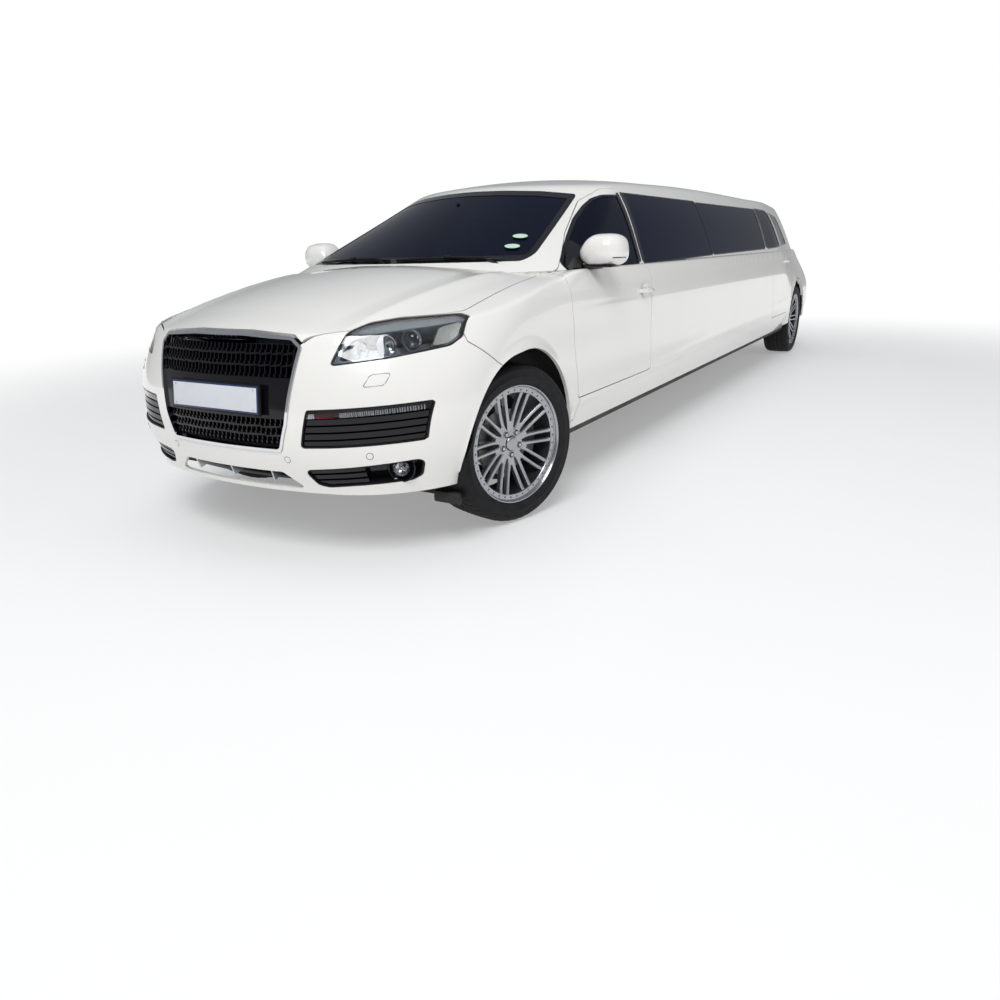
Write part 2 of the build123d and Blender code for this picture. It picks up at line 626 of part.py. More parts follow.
def meridian(plane, angle):
    """Plane through the axle: its x runs out along a radius and its y along the axle."""
    radial = plane.x_dir * cos(radians(angle)) + plane.y_dir * sin(radians(angle))
    return Plane(origin=plane.origin, x_dir=radial, z_dir=radial.cross(plane.z_dir))


def ring(plane, points, angle=0, sweep=360):
    """Turned ring or part ring of a section given as radius and place along the axle."""
    with BuildPart() as turned:
        with BuildSketch(meridian(plane, angle)):
            with BuildLine():
                Polyline(*points, close=True)
            make_face()
        revolve(axis=Axis(plane.origin, plane.z_dir), revolution_arc=sweep)
    return turned.part


SEAT_RADIUS = 266
TYRE_SECTION = [(267, -110), (283, -116), (289, -129), (305, -135), (330, -137.5), (358, -130),
                (372, -112), (TYRE_RADIUS, -60), (TYRE_RADIUS, 60), (372, 112), (358, 130),
                (330, 137.5), (305, 135), (289, 129), (283, 116), (267, 110)]
RIM_SECTION = [(282, 125), (282, 118), (SEAT_RADIUS, 111), (SEAT_RADIUS, 84), (248, 62), (248, -72),
               (SEAT_RADIUS, -92), (SEAT_RADIUS, -111), (282, -118), (282, -125), (272, -125),
               (257, -104), (240, -78), (240, 66), (256, 92), (272, 125)]
SPOKES = 10
SPOKE_FORKS = (((70, -12), (140, -8), (140, 8), (70, 12)),
               ((130, -8), (240, 26), (240, 40), (130, 8)),
               ((130, -8), (240, -40), (240, -26), (130, 8)))
HUB_FACE = 30
DISC_SECTION = [(60, HUB_FACE - SEAT_GAP), (88, HUB_FACE - SEAT_GAP), (88, 24), (160, 24), (160, 2),
                (80, 2), (80, 18), (60, 18)]
CALIPER_SECTION = [(112, -26), (190, -26), (190, 46), (112, 46), (112, 29), (174, 29), (174, -3), (112, -3)]


def rim(plane):
    """Rim barrel with forked spokes and a hub."""
    with BuildPart() as wheel:
        add(ring(plane, RIM_SECTION))
        with BuildSketch(plane.offset(60)):
            Circle(250)
            Circle(226, mode=Mode.SUBTRACT)
        extrude(amount=16)
        with BuildSketch(plane.offset(HUB_FACE)):
            Circle(76)
        extrude(amount=46)
        with BuildSketch(plane.offset(66)):
            with PolarLocations(0, SPOKES):
                for fork in SPOKE_FORKS:
                    Polygon(*fork, align=None)
        extrude(amount=14)
    return wheel.part


def tyre(plane):
    """Tyre ring."""
    return ring(plane, TYRE_SECTION)


def disc(plane):
    """Brake disc with its bell, bolted to the back of the rim."""
    return ring(plane, DISC_SECTION)


def caliper(plane):
    """Brake caliper astride the disc, behind the axle."""
    return ring(plane, CALIPER_SECTION, 155, 50)


def carrier(plane, inset):
    """Wheel carrier: bearing boss, upright post, caliper and the arm that holds it."""
    post_x, post_y = plane.origin.X - inset * plane.z_dir.X, plane.origin.Y - inset * plane.z_dir.Y
    with BuildPart() as upright:
        with BuildSketch(plane.offset(-inset - 24)):
            Circle(52)
        extrude(amount=inset + 24 + 2)
        with BuildSketch(plane.offset(-24)):
            with Locations((-66, 0)):
                Rectangle(132, 50)
        extrude(amount=16)
        add(cylinder_z(post_x, post_y, 24, (TYRE_RADIUS - 165, TYRE_RADIUS + 165)))
        add(caliper(plane))
        with BuildSketch(plane.offset(HUB_FACE - 16)):
            Circle(50)
        extrude(amount=-HUB_FACE)
    return upright.part


WHEEL_TYRE = tyre(Plane.XY)
WHEEL_RIM = rim(Plane.XY)
WHEEL_DISC = disc(Plane.XY)
wheels = {}
for place, axle_x, track, steer in (("front", FRONT_AXLE, TRACK_FRONT, REST_STEER),
                                    ("rear", REAR_AXLE, TRACK_REAR, 0)):
    for side_name, side in (("left", 1), ("right", -1)):
        plane = wheel_plane(axle_x, track, side, steer, KINGPIN_INSET)
        wheels[place, side_name] = plane
        save(WHEEL_TYRE.moved(plane.location), f"tyre_{place}_{side_name}")
        save(WHEEL_RIM.moved(plane.location), f"rim_{place}_{side_name}")
        save(WHEEL_DISC.moved(plane.location), f"brake_disc_{place}_{side_name}")
        if place == "front":
            save(carrier(plane, KINGPIN_INSET), f"knuckle_{side_name}")

# Front suspension: cross member and two wishbones a side, each ending in a ball on the kingpin
ARM_LOW_Z = TYRE_RADIUS - 165
ARM_HIGH_Z = TYRE_RADIUS + 165
KINGPIN_Y = TRACK_FRONT / 2 - KINGPIN_INSET


def wishbone(axle_x, tip_y, z, root_y, spread, thick):
    """Flat two-legged arm from its ball at the wheel to its bushes inboard."""
    with BuildPart() as arm:
        with BuildSketch(Plane.XY.offset(z)):
            with BuildLine():
                Polyline((axle_x - 28, tip_y), (axle_x + 28, tip_y), (axle_x + spread, root_y),
                         (axle_x + spread - 60, root_y), (axle_x, tip_y - 110),
                         (axle_x - spread + 60, root_y), (axle_x - spread, root_y), close=True)
            make_face()
        extrude(amount=thick)
    return arm.part


with BuildPart() as front_links_left:
    add(wishbone(FRONT_AXLE, KINGPIN_Y + 20, ARM_LOW_Z - 24 - SEAT_GAP, 420, 170, 24))
    add(wishbone(FRONT_AXLE, KINGPIN_Y + 20, ARM_HIGH_Z + SEAT_GAP, 440, 120, 22))
    add(block((FRONT_AXLE - 200, FRONT_AXLE + 200), (330, 425), (ARM_LOW_Z - 40, ARM_LOW_Z + 30)))
    add(block((FRONT_AXLE - 60, FRONT_AXLE + 60), (0, 340), (ARM_LOW_Z - 40, ARM_LOW_Z + 20)))
    add(block((FRONT_AXLE - 150, FRONT_AXLE + 150), (400, 445), (ARM_LOW_Z + 20, 840)))
front_suspension = opposite(front_links_left.part)
save(front_suspension, "front_suspension")

# Rear suspension: wheel carriers, arms and cross member
with BuildPart() as rear_links_left:
    add(carrier(wheels["rear", "left"], KINGPIN_INSET))
    rear_tip = TRACK_REAR / 2 - KINGPIN_INSET + 20
    add(wishbone(REAR_AXLE, rear_tip, ARM_LOW_Z - 24, 420, 170, 26))
    add(wishbone(REAR_AXLE, rear_tip, ARM_HIGH_Z - 2, 440, 120, 24))
    add(block((REAR_AXLE - 200, REAR_AXLE + 200), (330, 425), (ARM_LOW_Z - 40, ARM_LOW_Z + 30)))
    add(block((REAR_AXLE - 60, REAR_AXLE + 60), (0, 340), (ARM_LOW_Z - 40, ARM_LOW_Z + 20)))
    add(block((REAR_AXLE - 150, REAR_AXLE + 150), (400, 445),
              (ARM_LOW_Z + 20, RAISED_FLOOR[0] - SEAT_GAP)))
save(opposite(rear_links_left.part), "rear_suspension")

# Engine, gearbox, shafts, final drive
save(block((front(300), front(-420)), (-300, 300), (ARM_LOW_Z + 30 + SEAT_GAP, 930)), "engine")
with BuildPart() as driveline:
    add(cylinder_x(0, 430, 110, (front(900), front(300 + SEAT_GAP))))
    add(cylinder_x(0, 262, 34, (rear(150), front(850))))
    add(block((front(960), front(840)), (-60, 60), (240, 400)))
    add(block((rear(-170), rear(170)), (-110, 110), (ARM_LOW_Z + 20 + SEAT_GAP, 440)))
    add(cylinder_y(REAR_AXLE, TYRE_RADIUS, 20, (-330, 330)))
save(driveline.part, "driveline")

# Wheel housings
with BuildPart() as liner_left:
    for axle_x in (FRONT_AXLE, REAR_AXLE):
        add(cylinder_y(axle_x, ARCH_CENTRE_Z, LINER_RADIUS + 4, (470, 1200))
            - cylinder_y(axle_x, ARCH_CENTRE_Z, LINER_RADIUS, (470, 1200)))
    add(UNDER_SEAT, mode=Mode.INTERSECT)
    add(block((-BEYOND * 2, BEYOND * 2), (0, 1200), (SILL_Z + 4, 1200)), mode=Mode.INTERSECT)
save(opposite(liner_left.part), "wheel_liners")

# Bonnet stops, standing on the radiator support
STOP_X, STOP_Y = front(-690), 300
STOP_GAP = 4.5
STOP_TOP = crown_height(BONNET_TOP, STOP_X, STOP_Y) - BONNET_THICK - STOP_GAP

# Floor: pan, ladder rails, firewall, front rails with bumper beam, raised rear floor over the axle
with BuildPart() as floor:
    add(block((rear(470), front(480)), (0, 925), (FLOOR_TOP - 30, SILL_Z - SEAT_GAP)))
    add(block((rear(430), rear(470)), (0, 925), (FLOOR_TOP - 30, RAISED_FLOOR[1])) & CABIN_SEAT)
    add(block((rear(-560), rear(470)), (0, 925), RAISED_FLOOR) & CABIN_SEAT)
    add(block((rear(-600), rear(-560)), (0, 700), (500, RAISED_FLOOR[1])))
    add(block((rear(-1000), rear(-560)), (0, 700), (500, 540)) & tail(SKIN + SEAT_GAP))
    add(block((rear(430), front(560)), (400, 466), (FLOOR_LOW, FLOOR_TOP)))
    add(block((front(FIREWALL), front(FIREWALL - 40)), (0, 780), (FLOOR_TOP - 30, 1085)) & CABIN_SEAT)
    add(block((front(480), front(-820)), (446, 466), (420, 520)))
    add(block((front(-680), front(-700)), (0, 466), (420, 860)))
    add(cylinder_z(STOP_X, STOP_Y, 10, (850, STOP_TOP)))
    add(block((front(-500), front(-950)), (0, 600), (440, 500)) & nose(SKIN + 40) - nose(SKIN + 100))
    add(cylinder_x(0, 430, TUNNEL + 15, (front(1000), front(FIREWALL))))
    add(cylinder_x(0, 430, TUNNEL, (front(985), front(300))), mode=Mode.SUBTRACT)
    add(block((front(985), front(300)), (-TUNNEL, TUNNEL), (200, 430)), mode=Mode.SUBTRACT)
    add(block((front(1001), front(985)), (-TUNNEL, TUNNEL), (200, FLOOR_TOP - 30)), mode=Mode.SUBTRACT)
    for axle_x in (FRONT_AXLE, REAR_AXLE):
        add(arch(axle_x, LINER_RADIUS + 5, (466, 1200)), mode=Mode.SUBTRACT)
save(opposite(floor.part), "floor_pan")

# Exhaust: pipe, silencer and two tips under the rear bumper
PIPE_Z = FLOOR_TOP - 58 - SEAT_GAP
with BuildPart() as exhaust:
    add(cylinder_x(-250, PIPE_Z, 28, (rear(-700), front(600))))
    add(block((rear(-950), rear(-620)), (-340, 340), (235, 500 - SEAT_GAP)))
    for y in (-420, 420):
        add(cylinder_x(y, 262, 34, (rear(-1110), rear(-800))))
        add(block((rear(-900), rear(-800)), (min(y, 0), max(y, 0)), (240, 290)))
save(exhaust.part, "exhaust")

# Dashboard, and the steering wheel on the right
DASH = [(front(u), z) for u, z in ((431, 1090), (560, 1108), (860, 1085), (930, 1000), (850, 800),
                                   (700, 740), (431, 760))]
save(side_prism(DASH, y_range=(-720, 720)), "dashboard")
RIM_TILT = 25
steering_plane = Plane(origin=(front(1060), -380, 1000), x_dir=(0, 1, 0),
                       z_dir=(-cos(radians(RIM_TILT)), 0, sin(radians(RIM_TILT))))
with BuildPart() as steering_wheel:
    with BuildSketch(meridian(steering_plane, 0)):
        with Locations((180, 0)):
            Circle(16)
    revolve(axis=Axis(steering_plane.origin, steering_plane.z_dir))
    with BuildSketch(steering_plane.offset(-10)):
        Circle(62)
        with PolarLocations(0, 4):
            with Locations((115, 0)):
                Rectangle(120, 34)
    extrude(amount=18)
    with BuildSketch(steering_plane.offset(-230)):
        Circle(30)
    extrude(amount=225)
    add(side_prism(DASH, SEAT_GAP, y_range=(-800, 800)), mode=Mode.SUBTRACT)
save(steering_wheel.part, "steering_wheel")

# Seats, partition, lounge bench and bar
SEAT_SIDE = [(front(u), z) for u, z in (
    (1180, SILL_Z), (1130, 560), (1160, 640), (1600, 610), (1760, 1180), (1780, 1340), (1890, 1340),
    (1880, 1180), (1760, 560), (1690, SILL_Z))]
save(opposite(side_prism(SEAT_SIDE, y_range=(140, 640))), "front_seats")
with BuildPart() as partition:
    add(block((front(2090), front(2050)), (-900, 900), (SILL_Z, 1700)) & CABIN_SEAT)
    add(block((front(2100), front(2040)), (-500, 500), (1050, 1450)), mode=Mode.SUBTRACT)
save(partition.part, "partition")
REAR_BENCH = [(rear(u), z) for u, z in (
    (490, SILL_Z), (1000, SILL_Z), (1020, 640), (640, 640), (520, 1180), (400, 1200), (352, 780), (490, 690))]
with BuildPart() as lounge:
    add(side_prism(REAR_BENCH, y_range=(-780, 780)))
    add(block((rear(1480), front(2200)), (430, 850), (SILL_Z, 600)))
    add(block((rear(1480), front(2200)), (760, 850), (590, 950)))
save(lounge.part, "lounge_seats")
save(block((front(4300), front(2300)), (-850, -560), (SILL_Z, 880)), "bar_cabinet")
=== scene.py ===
"""Looks of a white stretch limousine, in metres: X forward, Y to the left, Z up."""
import sys
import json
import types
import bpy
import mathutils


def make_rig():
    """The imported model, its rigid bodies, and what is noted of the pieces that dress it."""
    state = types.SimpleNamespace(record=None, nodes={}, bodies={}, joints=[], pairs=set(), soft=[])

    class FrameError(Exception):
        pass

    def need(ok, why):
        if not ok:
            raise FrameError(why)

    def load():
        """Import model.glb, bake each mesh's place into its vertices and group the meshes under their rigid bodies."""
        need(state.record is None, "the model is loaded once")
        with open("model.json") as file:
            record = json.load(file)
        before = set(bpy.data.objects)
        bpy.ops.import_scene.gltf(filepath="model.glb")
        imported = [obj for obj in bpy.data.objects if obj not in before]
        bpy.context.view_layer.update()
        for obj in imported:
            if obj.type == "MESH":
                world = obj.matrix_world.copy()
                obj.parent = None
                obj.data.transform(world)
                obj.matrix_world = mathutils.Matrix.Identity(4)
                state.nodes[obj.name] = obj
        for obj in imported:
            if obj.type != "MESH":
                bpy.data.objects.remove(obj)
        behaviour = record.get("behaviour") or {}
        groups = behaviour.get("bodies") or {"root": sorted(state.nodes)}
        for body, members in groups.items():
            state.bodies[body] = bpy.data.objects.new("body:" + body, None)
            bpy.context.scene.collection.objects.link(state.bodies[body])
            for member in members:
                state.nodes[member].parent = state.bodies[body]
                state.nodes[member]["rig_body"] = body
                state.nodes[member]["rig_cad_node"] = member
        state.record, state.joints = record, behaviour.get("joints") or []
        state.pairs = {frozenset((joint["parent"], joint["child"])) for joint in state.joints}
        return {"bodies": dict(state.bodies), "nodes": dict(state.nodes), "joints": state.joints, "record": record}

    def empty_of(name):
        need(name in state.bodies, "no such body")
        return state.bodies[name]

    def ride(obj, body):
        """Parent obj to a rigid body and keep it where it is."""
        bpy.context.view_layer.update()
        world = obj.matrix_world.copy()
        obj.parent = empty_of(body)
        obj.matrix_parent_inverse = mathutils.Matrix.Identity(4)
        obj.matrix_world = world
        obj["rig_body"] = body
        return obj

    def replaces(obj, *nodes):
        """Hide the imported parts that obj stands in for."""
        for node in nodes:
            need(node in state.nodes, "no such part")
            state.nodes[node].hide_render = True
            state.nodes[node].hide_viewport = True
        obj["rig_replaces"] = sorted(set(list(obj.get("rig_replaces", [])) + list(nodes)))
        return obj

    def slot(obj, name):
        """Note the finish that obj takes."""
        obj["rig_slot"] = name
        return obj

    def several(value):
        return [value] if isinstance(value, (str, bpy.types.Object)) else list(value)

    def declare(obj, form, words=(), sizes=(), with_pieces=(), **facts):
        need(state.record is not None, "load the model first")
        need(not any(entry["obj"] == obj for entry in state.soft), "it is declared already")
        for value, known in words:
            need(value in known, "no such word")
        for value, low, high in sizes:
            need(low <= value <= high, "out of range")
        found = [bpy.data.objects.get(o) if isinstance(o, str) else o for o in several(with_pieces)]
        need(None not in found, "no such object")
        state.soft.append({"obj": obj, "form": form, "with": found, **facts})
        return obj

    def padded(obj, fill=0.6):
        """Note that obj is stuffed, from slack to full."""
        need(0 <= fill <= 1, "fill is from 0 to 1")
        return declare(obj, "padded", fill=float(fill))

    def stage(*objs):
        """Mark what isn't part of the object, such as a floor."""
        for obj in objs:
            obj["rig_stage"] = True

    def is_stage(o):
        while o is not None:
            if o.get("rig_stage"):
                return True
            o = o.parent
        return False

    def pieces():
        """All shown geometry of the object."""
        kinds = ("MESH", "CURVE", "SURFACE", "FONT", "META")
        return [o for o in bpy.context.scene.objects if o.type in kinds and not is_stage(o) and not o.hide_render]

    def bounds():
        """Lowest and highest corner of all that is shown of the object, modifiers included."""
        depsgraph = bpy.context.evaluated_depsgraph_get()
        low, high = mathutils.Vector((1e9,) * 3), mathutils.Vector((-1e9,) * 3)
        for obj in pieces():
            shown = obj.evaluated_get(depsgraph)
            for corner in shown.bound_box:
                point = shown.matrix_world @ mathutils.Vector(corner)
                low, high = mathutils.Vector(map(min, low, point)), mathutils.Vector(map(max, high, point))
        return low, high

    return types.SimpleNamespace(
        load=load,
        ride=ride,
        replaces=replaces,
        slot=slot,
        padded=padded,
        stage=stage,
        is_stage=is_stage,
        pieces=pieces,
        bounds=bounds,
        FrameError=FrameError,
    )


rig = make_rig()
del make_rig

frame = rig.load()

import json
from functools import reduce
from math import cos, hypot, pi, radians, sin

import bmesh
import bpy
import numpy as np
from bpy.props import FloatProperty, FloatVectorProperty, IntProperty, PointerProperty
from mathutils import Matrix, Vector

bl_info = {
    "name": "Stretch limousine looks",
    "version": (1, 0, 0),
    "blender": (4, 5, 0),
    "location": "View3D > Sidebar > Limousine",
    "description": "Builds the painted panels, glass, lamps, wheels and cabin of a stretch limousine",
    "category": "Object",
}

CAD_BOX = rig.bounds()
NODES = frame["nodes"]
FRONT_AXLE = 3.371
REAR_AXLE = -3.187


def front(u):
    """X of a place u behind the front axle."""
    return FRONT_AXLE - u


def rear(u):
    """X of a place u ahead of the rear axle."""
    return REAR_AXLE + u


# Body levels. Columns: height, nose, corner (x, y), start of the straight side, half width, tail,
# tail corner (x, y), end of the straight side; ahead of the front axle and behind the rear axle
LOWER_LEVELS = np.array((
    (0.300, 0.900, 0.815, 0.560, 0.300, 0.915, 1.060, 0.950, 0.620, 0.560),
    (0.480, 0.950, 0.872, 0.560, 0.265, 0.979, 1.130, 1.000, 0.680, 0.560),
    (0.760, 0.940, 0.848, 0.560, 0.240, 0.976, 1.134, 0.990, 0.690, 0.560),
    (1.040, 0.862, 0.700, 0.560, -0.100, 0.957, 1.078, 0.930, 0.680, 0.560),
    (1.200, 0.780, 0.560, 0.560, -0.300, 0.900, 1.010, 0.860, 0.640, 0.520)))
UPPER_LEVELS = np.array((
    (1.090, -0.011, -0.253, 0.783, -0.637, 0.921, 1.056, 0.890, 0.660, 0.495),
    (1.565, -1.110, -1.350, 0.585, -1.640, 0.712, 0.735, 0.600, 0.500, 0.250),
    (1.720, -1.470, -1.660, 0.500, -1.850, 0.600, 0.640, 0.520, 0.430, 0.200)))

# Crowned tops. Columns: x, height on the centre line, drop at CROWN_HALF from it
CROWN_HALF = 1.050
BONNET_TOP = np.array((
    (front(-1.020), 0.880, 0.170), (front(-0.880), 0.952, 0.170), (front(-0.640), 1.032, 0.170),
    (front(-0.300), 1.115, 0.170), (front(0.320), 1.190, 0.120), (front(0.700), 1.165, 0.030),
    (front(0.820), 1.165, 0.030), (rear(-1.184), 1.165, 0.030)))
ROOF_TOP = np.array((
    (front(0), 1.450, 0.125), (front(1.150), 1.602, 0.125), (front(1.700), 1.668, 0.125),
    (front(2.600), 1.700, 0.125), (rear(1.300), 1.700, 0.125), (rear(-0.200), 1.676, 0.125),
    (rear(-1.000), 1.600, 0.125)))


def hermite(table, at):
    """Columns of a table read smoothly at new places of its first column."""
    keys, values = table[:, 0], table[:, 1:]
    if keys[0] > keys[-1]:
        keys, values = keys[::-1], values[::-1]
    at = np.clip(at, keys[0], keys[-1])
    gaps = np.diff(keys)
    slopes = np.diff(values, axis=0) / gaps[:, None]
    tangents = np.vstack((slopes[:1], (slopes[:-1] * gaps[1:, None] + slopes[1:] * gaps[:-1, None])
                          / (gaps[:-1] + gaps[1:])[:, None], slopes[-1:]))
    k = np.clip(np.searchsorted(keys, at, side="right") - 1, 0, len(keys) - 2)
    w = gaps[k]
    t = ((at - keys[k]) / w)[:, None]
    return ((2 * t ** 3 - 3 * t ** 2 + 1) * values[k] + (t ** 3 - 2 * t ** 2 + t) * tangents[k] * w[:, None]
            + (3 * t ** 2 - 2 * t ** 3) * values[k + 1] + (t ** 3 - t ** 2) * tangents[k + 1] * w[:, None])


def crown(table, x, y):
    """Height of a crowned top over places in plan."""
    columns = hermite(table, np.ravel(x))
    height, drop = columns[:, 0].reshape(np.shape(x)), columns[:, 1].reshape(np.shape(x))
    radius = (CROWN_HALF ** 2 + drop ** 2) / (2 * drop)
    return height - radius + np.sqrt(radius ** 2 - y ** 2)


def end_arcs(nose, corner_x, corner_y, side_x, half, steps):
    """Half of one end of a waterline, from the centre line round the corner to the straight side."""
    depth = nose - corner_x
    radius = (depth ** 2 + corner_y ** 2) / (2 * depth)
    angles = np.linspace(0, np.arcsin(corner_y / radius), steps[0], endpoint=False)
    first = np.column_stack((nose - radius + radius * np.cos(angles), radius * np.sin(angles)))
    run, fall = corner_x - side_x, half - corner_y
    radius = (run ** 2 + fall ** 2) / (2 * fall)
    angles = np.linspace(np.arccos(run / radius), pi / 2, steps[1])
    second = np.column_stack((side_x + radius * np.cos(angles), half - radius + radius * np.sin(angles)))
    return np.vstack((first, second))


def waterline(row, side_xs, steps):
    """Left half of a waterline from nose to tail, as points in plan."""
    nose, corner_x, corner_y, side, half, tail, tail_x, tail_y, tail_side = row
    ahead = end_arcs(nose, corner_x, corner_y, side, half, steps) + (FRONT_AXLE, 0)
    behind = end_arcs(tail, tail_x, tail_y, tail_side, half, steps)
    behind = np.column_stack((REAR_AXLE - behind[:, 0], behind[:, 1]))[::-1]
    share = (side_xs - side_xs[0]) / (side_xs[-1] - side_xs[0])
    straight = ahead[-1, 0] + share * (behind[0, 0] - ahead[-1, 0])
    middle = np.column_stack((straight, np.full(len(straight), half)))
    return np.vstack((ahead[:-1], middle, behind[1:]))


def soften(grid, axis, width, mirrored_ends=False):
    """Gaussian average of a grid of points along one of its directions."""
    reach = int(3 * width) + 1
    kernel = np.exp(-0.5 * (np.arange(-reach, reach + 1) / width) ** 2)
    kernel /= kernel.sum()
    moved = np.moveaxis(grid, axis, 0)
    first, last = moved[1:reach + 1][::-1].copy(), moved[-reach - 1:-1][::-1].copy()
    if mirrored_ends:
        first, last = first * (1, -1, 1), last * (1, -1, 1)
    else:
        first, last = 2 * moved[:1] - first, 2 * moved[-1:] - last
    padded = np.concatenate((first, moved, last))
    out = sum(k * padded[i:i + len(moved)] for i, k in enumerate(kernel))
    return np.moveaxis(out, 0, axis)


def resample(line, count):
    """Polyline with its points spaced evenly."""
    length = np.concatenate(([0], np.cumsum(np.linalg.norm(np.diff(line, axis=0), axis=1))))
    at = np.linspace(0, length[-1], count)
    return np.column_stack([np.interp(at, length, line[:, k]) for k in range(3)])


def form(levels, top, low, high, spine, rows, roof_rows, steps, side_xs, round_by):
    """Left half of a body form: grid of points from the foot of the side up and over to the centre line."""
    heights = np.linspace(low, high, rows)
    table = hermite(levels, heights)
    lines = np.array([waterline(row, side_xs, steps) for row in table])
    columns = []
    for i in range(lines.shape[1]):
        side = np.column_stack((lines[:, i], heights))
        over = side[:, 2] - crown(top, side[:, 0], side[:, 1])
        k = int(np.argmax(over > 0)) if (over > 0).any() else len(side) - 1
        k = max(k, 1)
        t = np.clip(-over[k - 1] / (over[k] - over[k - 1] + 1e-9), 0, 1)
        edge = side[k - 1] + t * (side[k] - side[k - 1])
        inner_x = np.clip(edge[0], *spine)
        w = np.linspace(0, 1, 60)[1:]
        x, y = edge[0] + w * (inner_x - edge[0]), edge[1] * (1 - w)
        over_top = np.column_stack((x, y, crown(top, x, y)))
        column = resample(np.vstack((side[:k], edge, over_top)), rows + roof_rows)
        columns.append(column)
    grid = np.array(columns)
    spacing = np.linalg.norm(np.diff(grid, axis=1), axis=2).mean()
    grid = soften(grid, 1, round_by / spacing)
    grid = soften(grid, 0, 2.2, True)
    grid[0, :, 1] = grid[-1, :, 1] = 0
    grid[:, -1, 1] = 0
    return grid


def grid_normals(grid):
    """Outward normals of a grid of points."""
    along = np.gradient(grid, axis=0)
    across = np.gradient(grid, axis=1)
    normal = np.cross(along, across)
    normal /= np.linalg.norm(normal, axis=2, keepdims=True) + 1e-12
    return normal


class Skin:
    """Triangles with a point and a normal at each corner."""

    def __init__(self, points, normals, faces):
        self.points, self.normals, self.faces = points, normals, faces

    def clip(self, field):
        """The part where the field is below zero."""
        f = field(self.points)
        f = np.where(np.abs(f) < 1e-5, -1e-5, f)
        inside = f < 0
        count = inside[self.faces].sum(axis=1)
        kept = [self.faces[count == 3]]
        points, normals = [self.points], [self.normals]
        base = len(self.points)
        cut = self.faces[(count == 1) | (count == 2)]
        if len(cut):
            few = inside[cut].sum(axis=1)
            lone = np.where(few == 1, np.argmax(inside[cut], axis=1), np.argmin(inside[cut], axis=1))
            order = (lone[:, None] + np.arange(3)) % 3
            a, b, c = np.take_along_axis(cut, order, axis=1).T
            pairs = np.sort(np.vstack((np.column_stack((a, b)), np.column_stack((a, c)))), axis=1)
            edges, back = np.unique(pairs, axis=0, return_inverse=True)
            back = back.ravel()
            share = (f[edges[:, 0]] / (f[edges[:, 0]] - f[edges[:, 1]]))[:, None]
            points.append(self.points[edges[:, 0]] * (1 - share) + self.points[edges[:, 1]] * share)
            normals.append(self.normals[edges[:, 0]] * (1 - share) + self.normals[edges[:, 1]] * share)
            ab, ac = base + back[:len(cut)], base + back[len(cut):]
            one, two = few == 1, few == 2
            kept.append(np.column_stack((a, ab, ac))[one])
            kept.append(np.column_stack((b, c, ac))[two])
            kept.append(np.column_stack((b, ac, ab))[two])
        faces = np.vstack(kept)
        points, normals = np.vstack(points), np.vstack(normals)
        used, back = np.unique(faces, return_inverse=True)
        return Skin(points[used], normals[used], back.reshape(faces.shape))

    def mirrored(self):
        """The same skin on the right."""
        flip = np.array((1, -1, 1))
        return Skin(self.points * flip, self.normals * flip, self.faces[:, ::-1])

    def joined(self, other):
        """Two skins as one."""
        return Skin(np.vstack((self.points, other.points)), np.vstack((self.normals, other.normals)),
                    np.vstack((self.faces, other.faces + len(self.points))))

    def rim(self):
        """Directed edges of the open border."""
        edges = np.vstack((self.faces[:, (0, 1)], self.faces[:, (1, 2)], self.faces[:, (2, 0)]))
        size = len(self.points)
        keys = edges[:, 0] * size + edges[:, 1]
        back = edges[:, 1] * size + edges[:, 0]
        return edges[~np.isin(keys, back)]


def grid_skin(grid):
    """Triangles of a grid of points."""
    n, m = grid.shape[:2]
    index = np.arange(n * m).reshape(n, m)
    a, b, c, d = index[:-1, :-1].ravel(), index[1:, :-1].ravel(), index[1:, 1:].ravel(), index[:-1, 1:].ravel()
    faces = np.vstack((np.column_stack((a, b, c)), np.column_stack((a, c, d))))
    normals = grid_normals(grid)
    flat, ways = grid.reshape(-1, 3), normals.reshape(-1, 3)
    spots, group, count = np.unique(np.round(flat, 4), axis=0, return_inverse=True, return_counts=True)
    group = group.reshape(-1)
    crowd = count[group] > 4
    for i in np.unique(group[crowd]):
        away = np.linalg.norm(flat - spots[i], axis=1) + 9 * crowd
        ways[group == i] = ways[np.argsort(away)[:6]].mean(axis=0)
    skin = Skin(grid.reshape(-1, 3), normals.reshape(-1, 3), faces)
    p = skin.points
    area = np.linalg.norm(np.cross(p[faces[:, 1]] - p[faces[:, 0]], p[faces[:, 2]] - p[faces[:, 0]]), axis=1)
    skin.faces = faces[area > 1e-9]
    return skin


# Fields: signed distances that are below zero inside an outline


def distance(outline, a, b):
    """Signed distance from places in a view to a closed outline."""
    nearest = np.full(np.shape(a), 1e9)
    inside = np.zeros(np.shape(a), bool)
    for (x1, y1), (x2, y2) in zip(outline, outline[1:] + outline[:1]):
        dx, dy = x2 - x1, y2 - y1
        t = np.clip(((a - x1) * dx + (b - y1) * dy) / (dx * dx + dy * dy), 0, 1)
        nearest = np.minimum(nearest, (a - x1 - t * dx) ** 2 + (b - y1 - t * dy) ** 2)
        if y1 != y2:
            inside ^= ((y1 > b) != (y2 > b)) & (a < dx * (b - y1) / dy + x1)
    return np.where(inside, -1, 1) * np.sqrt(nearest)


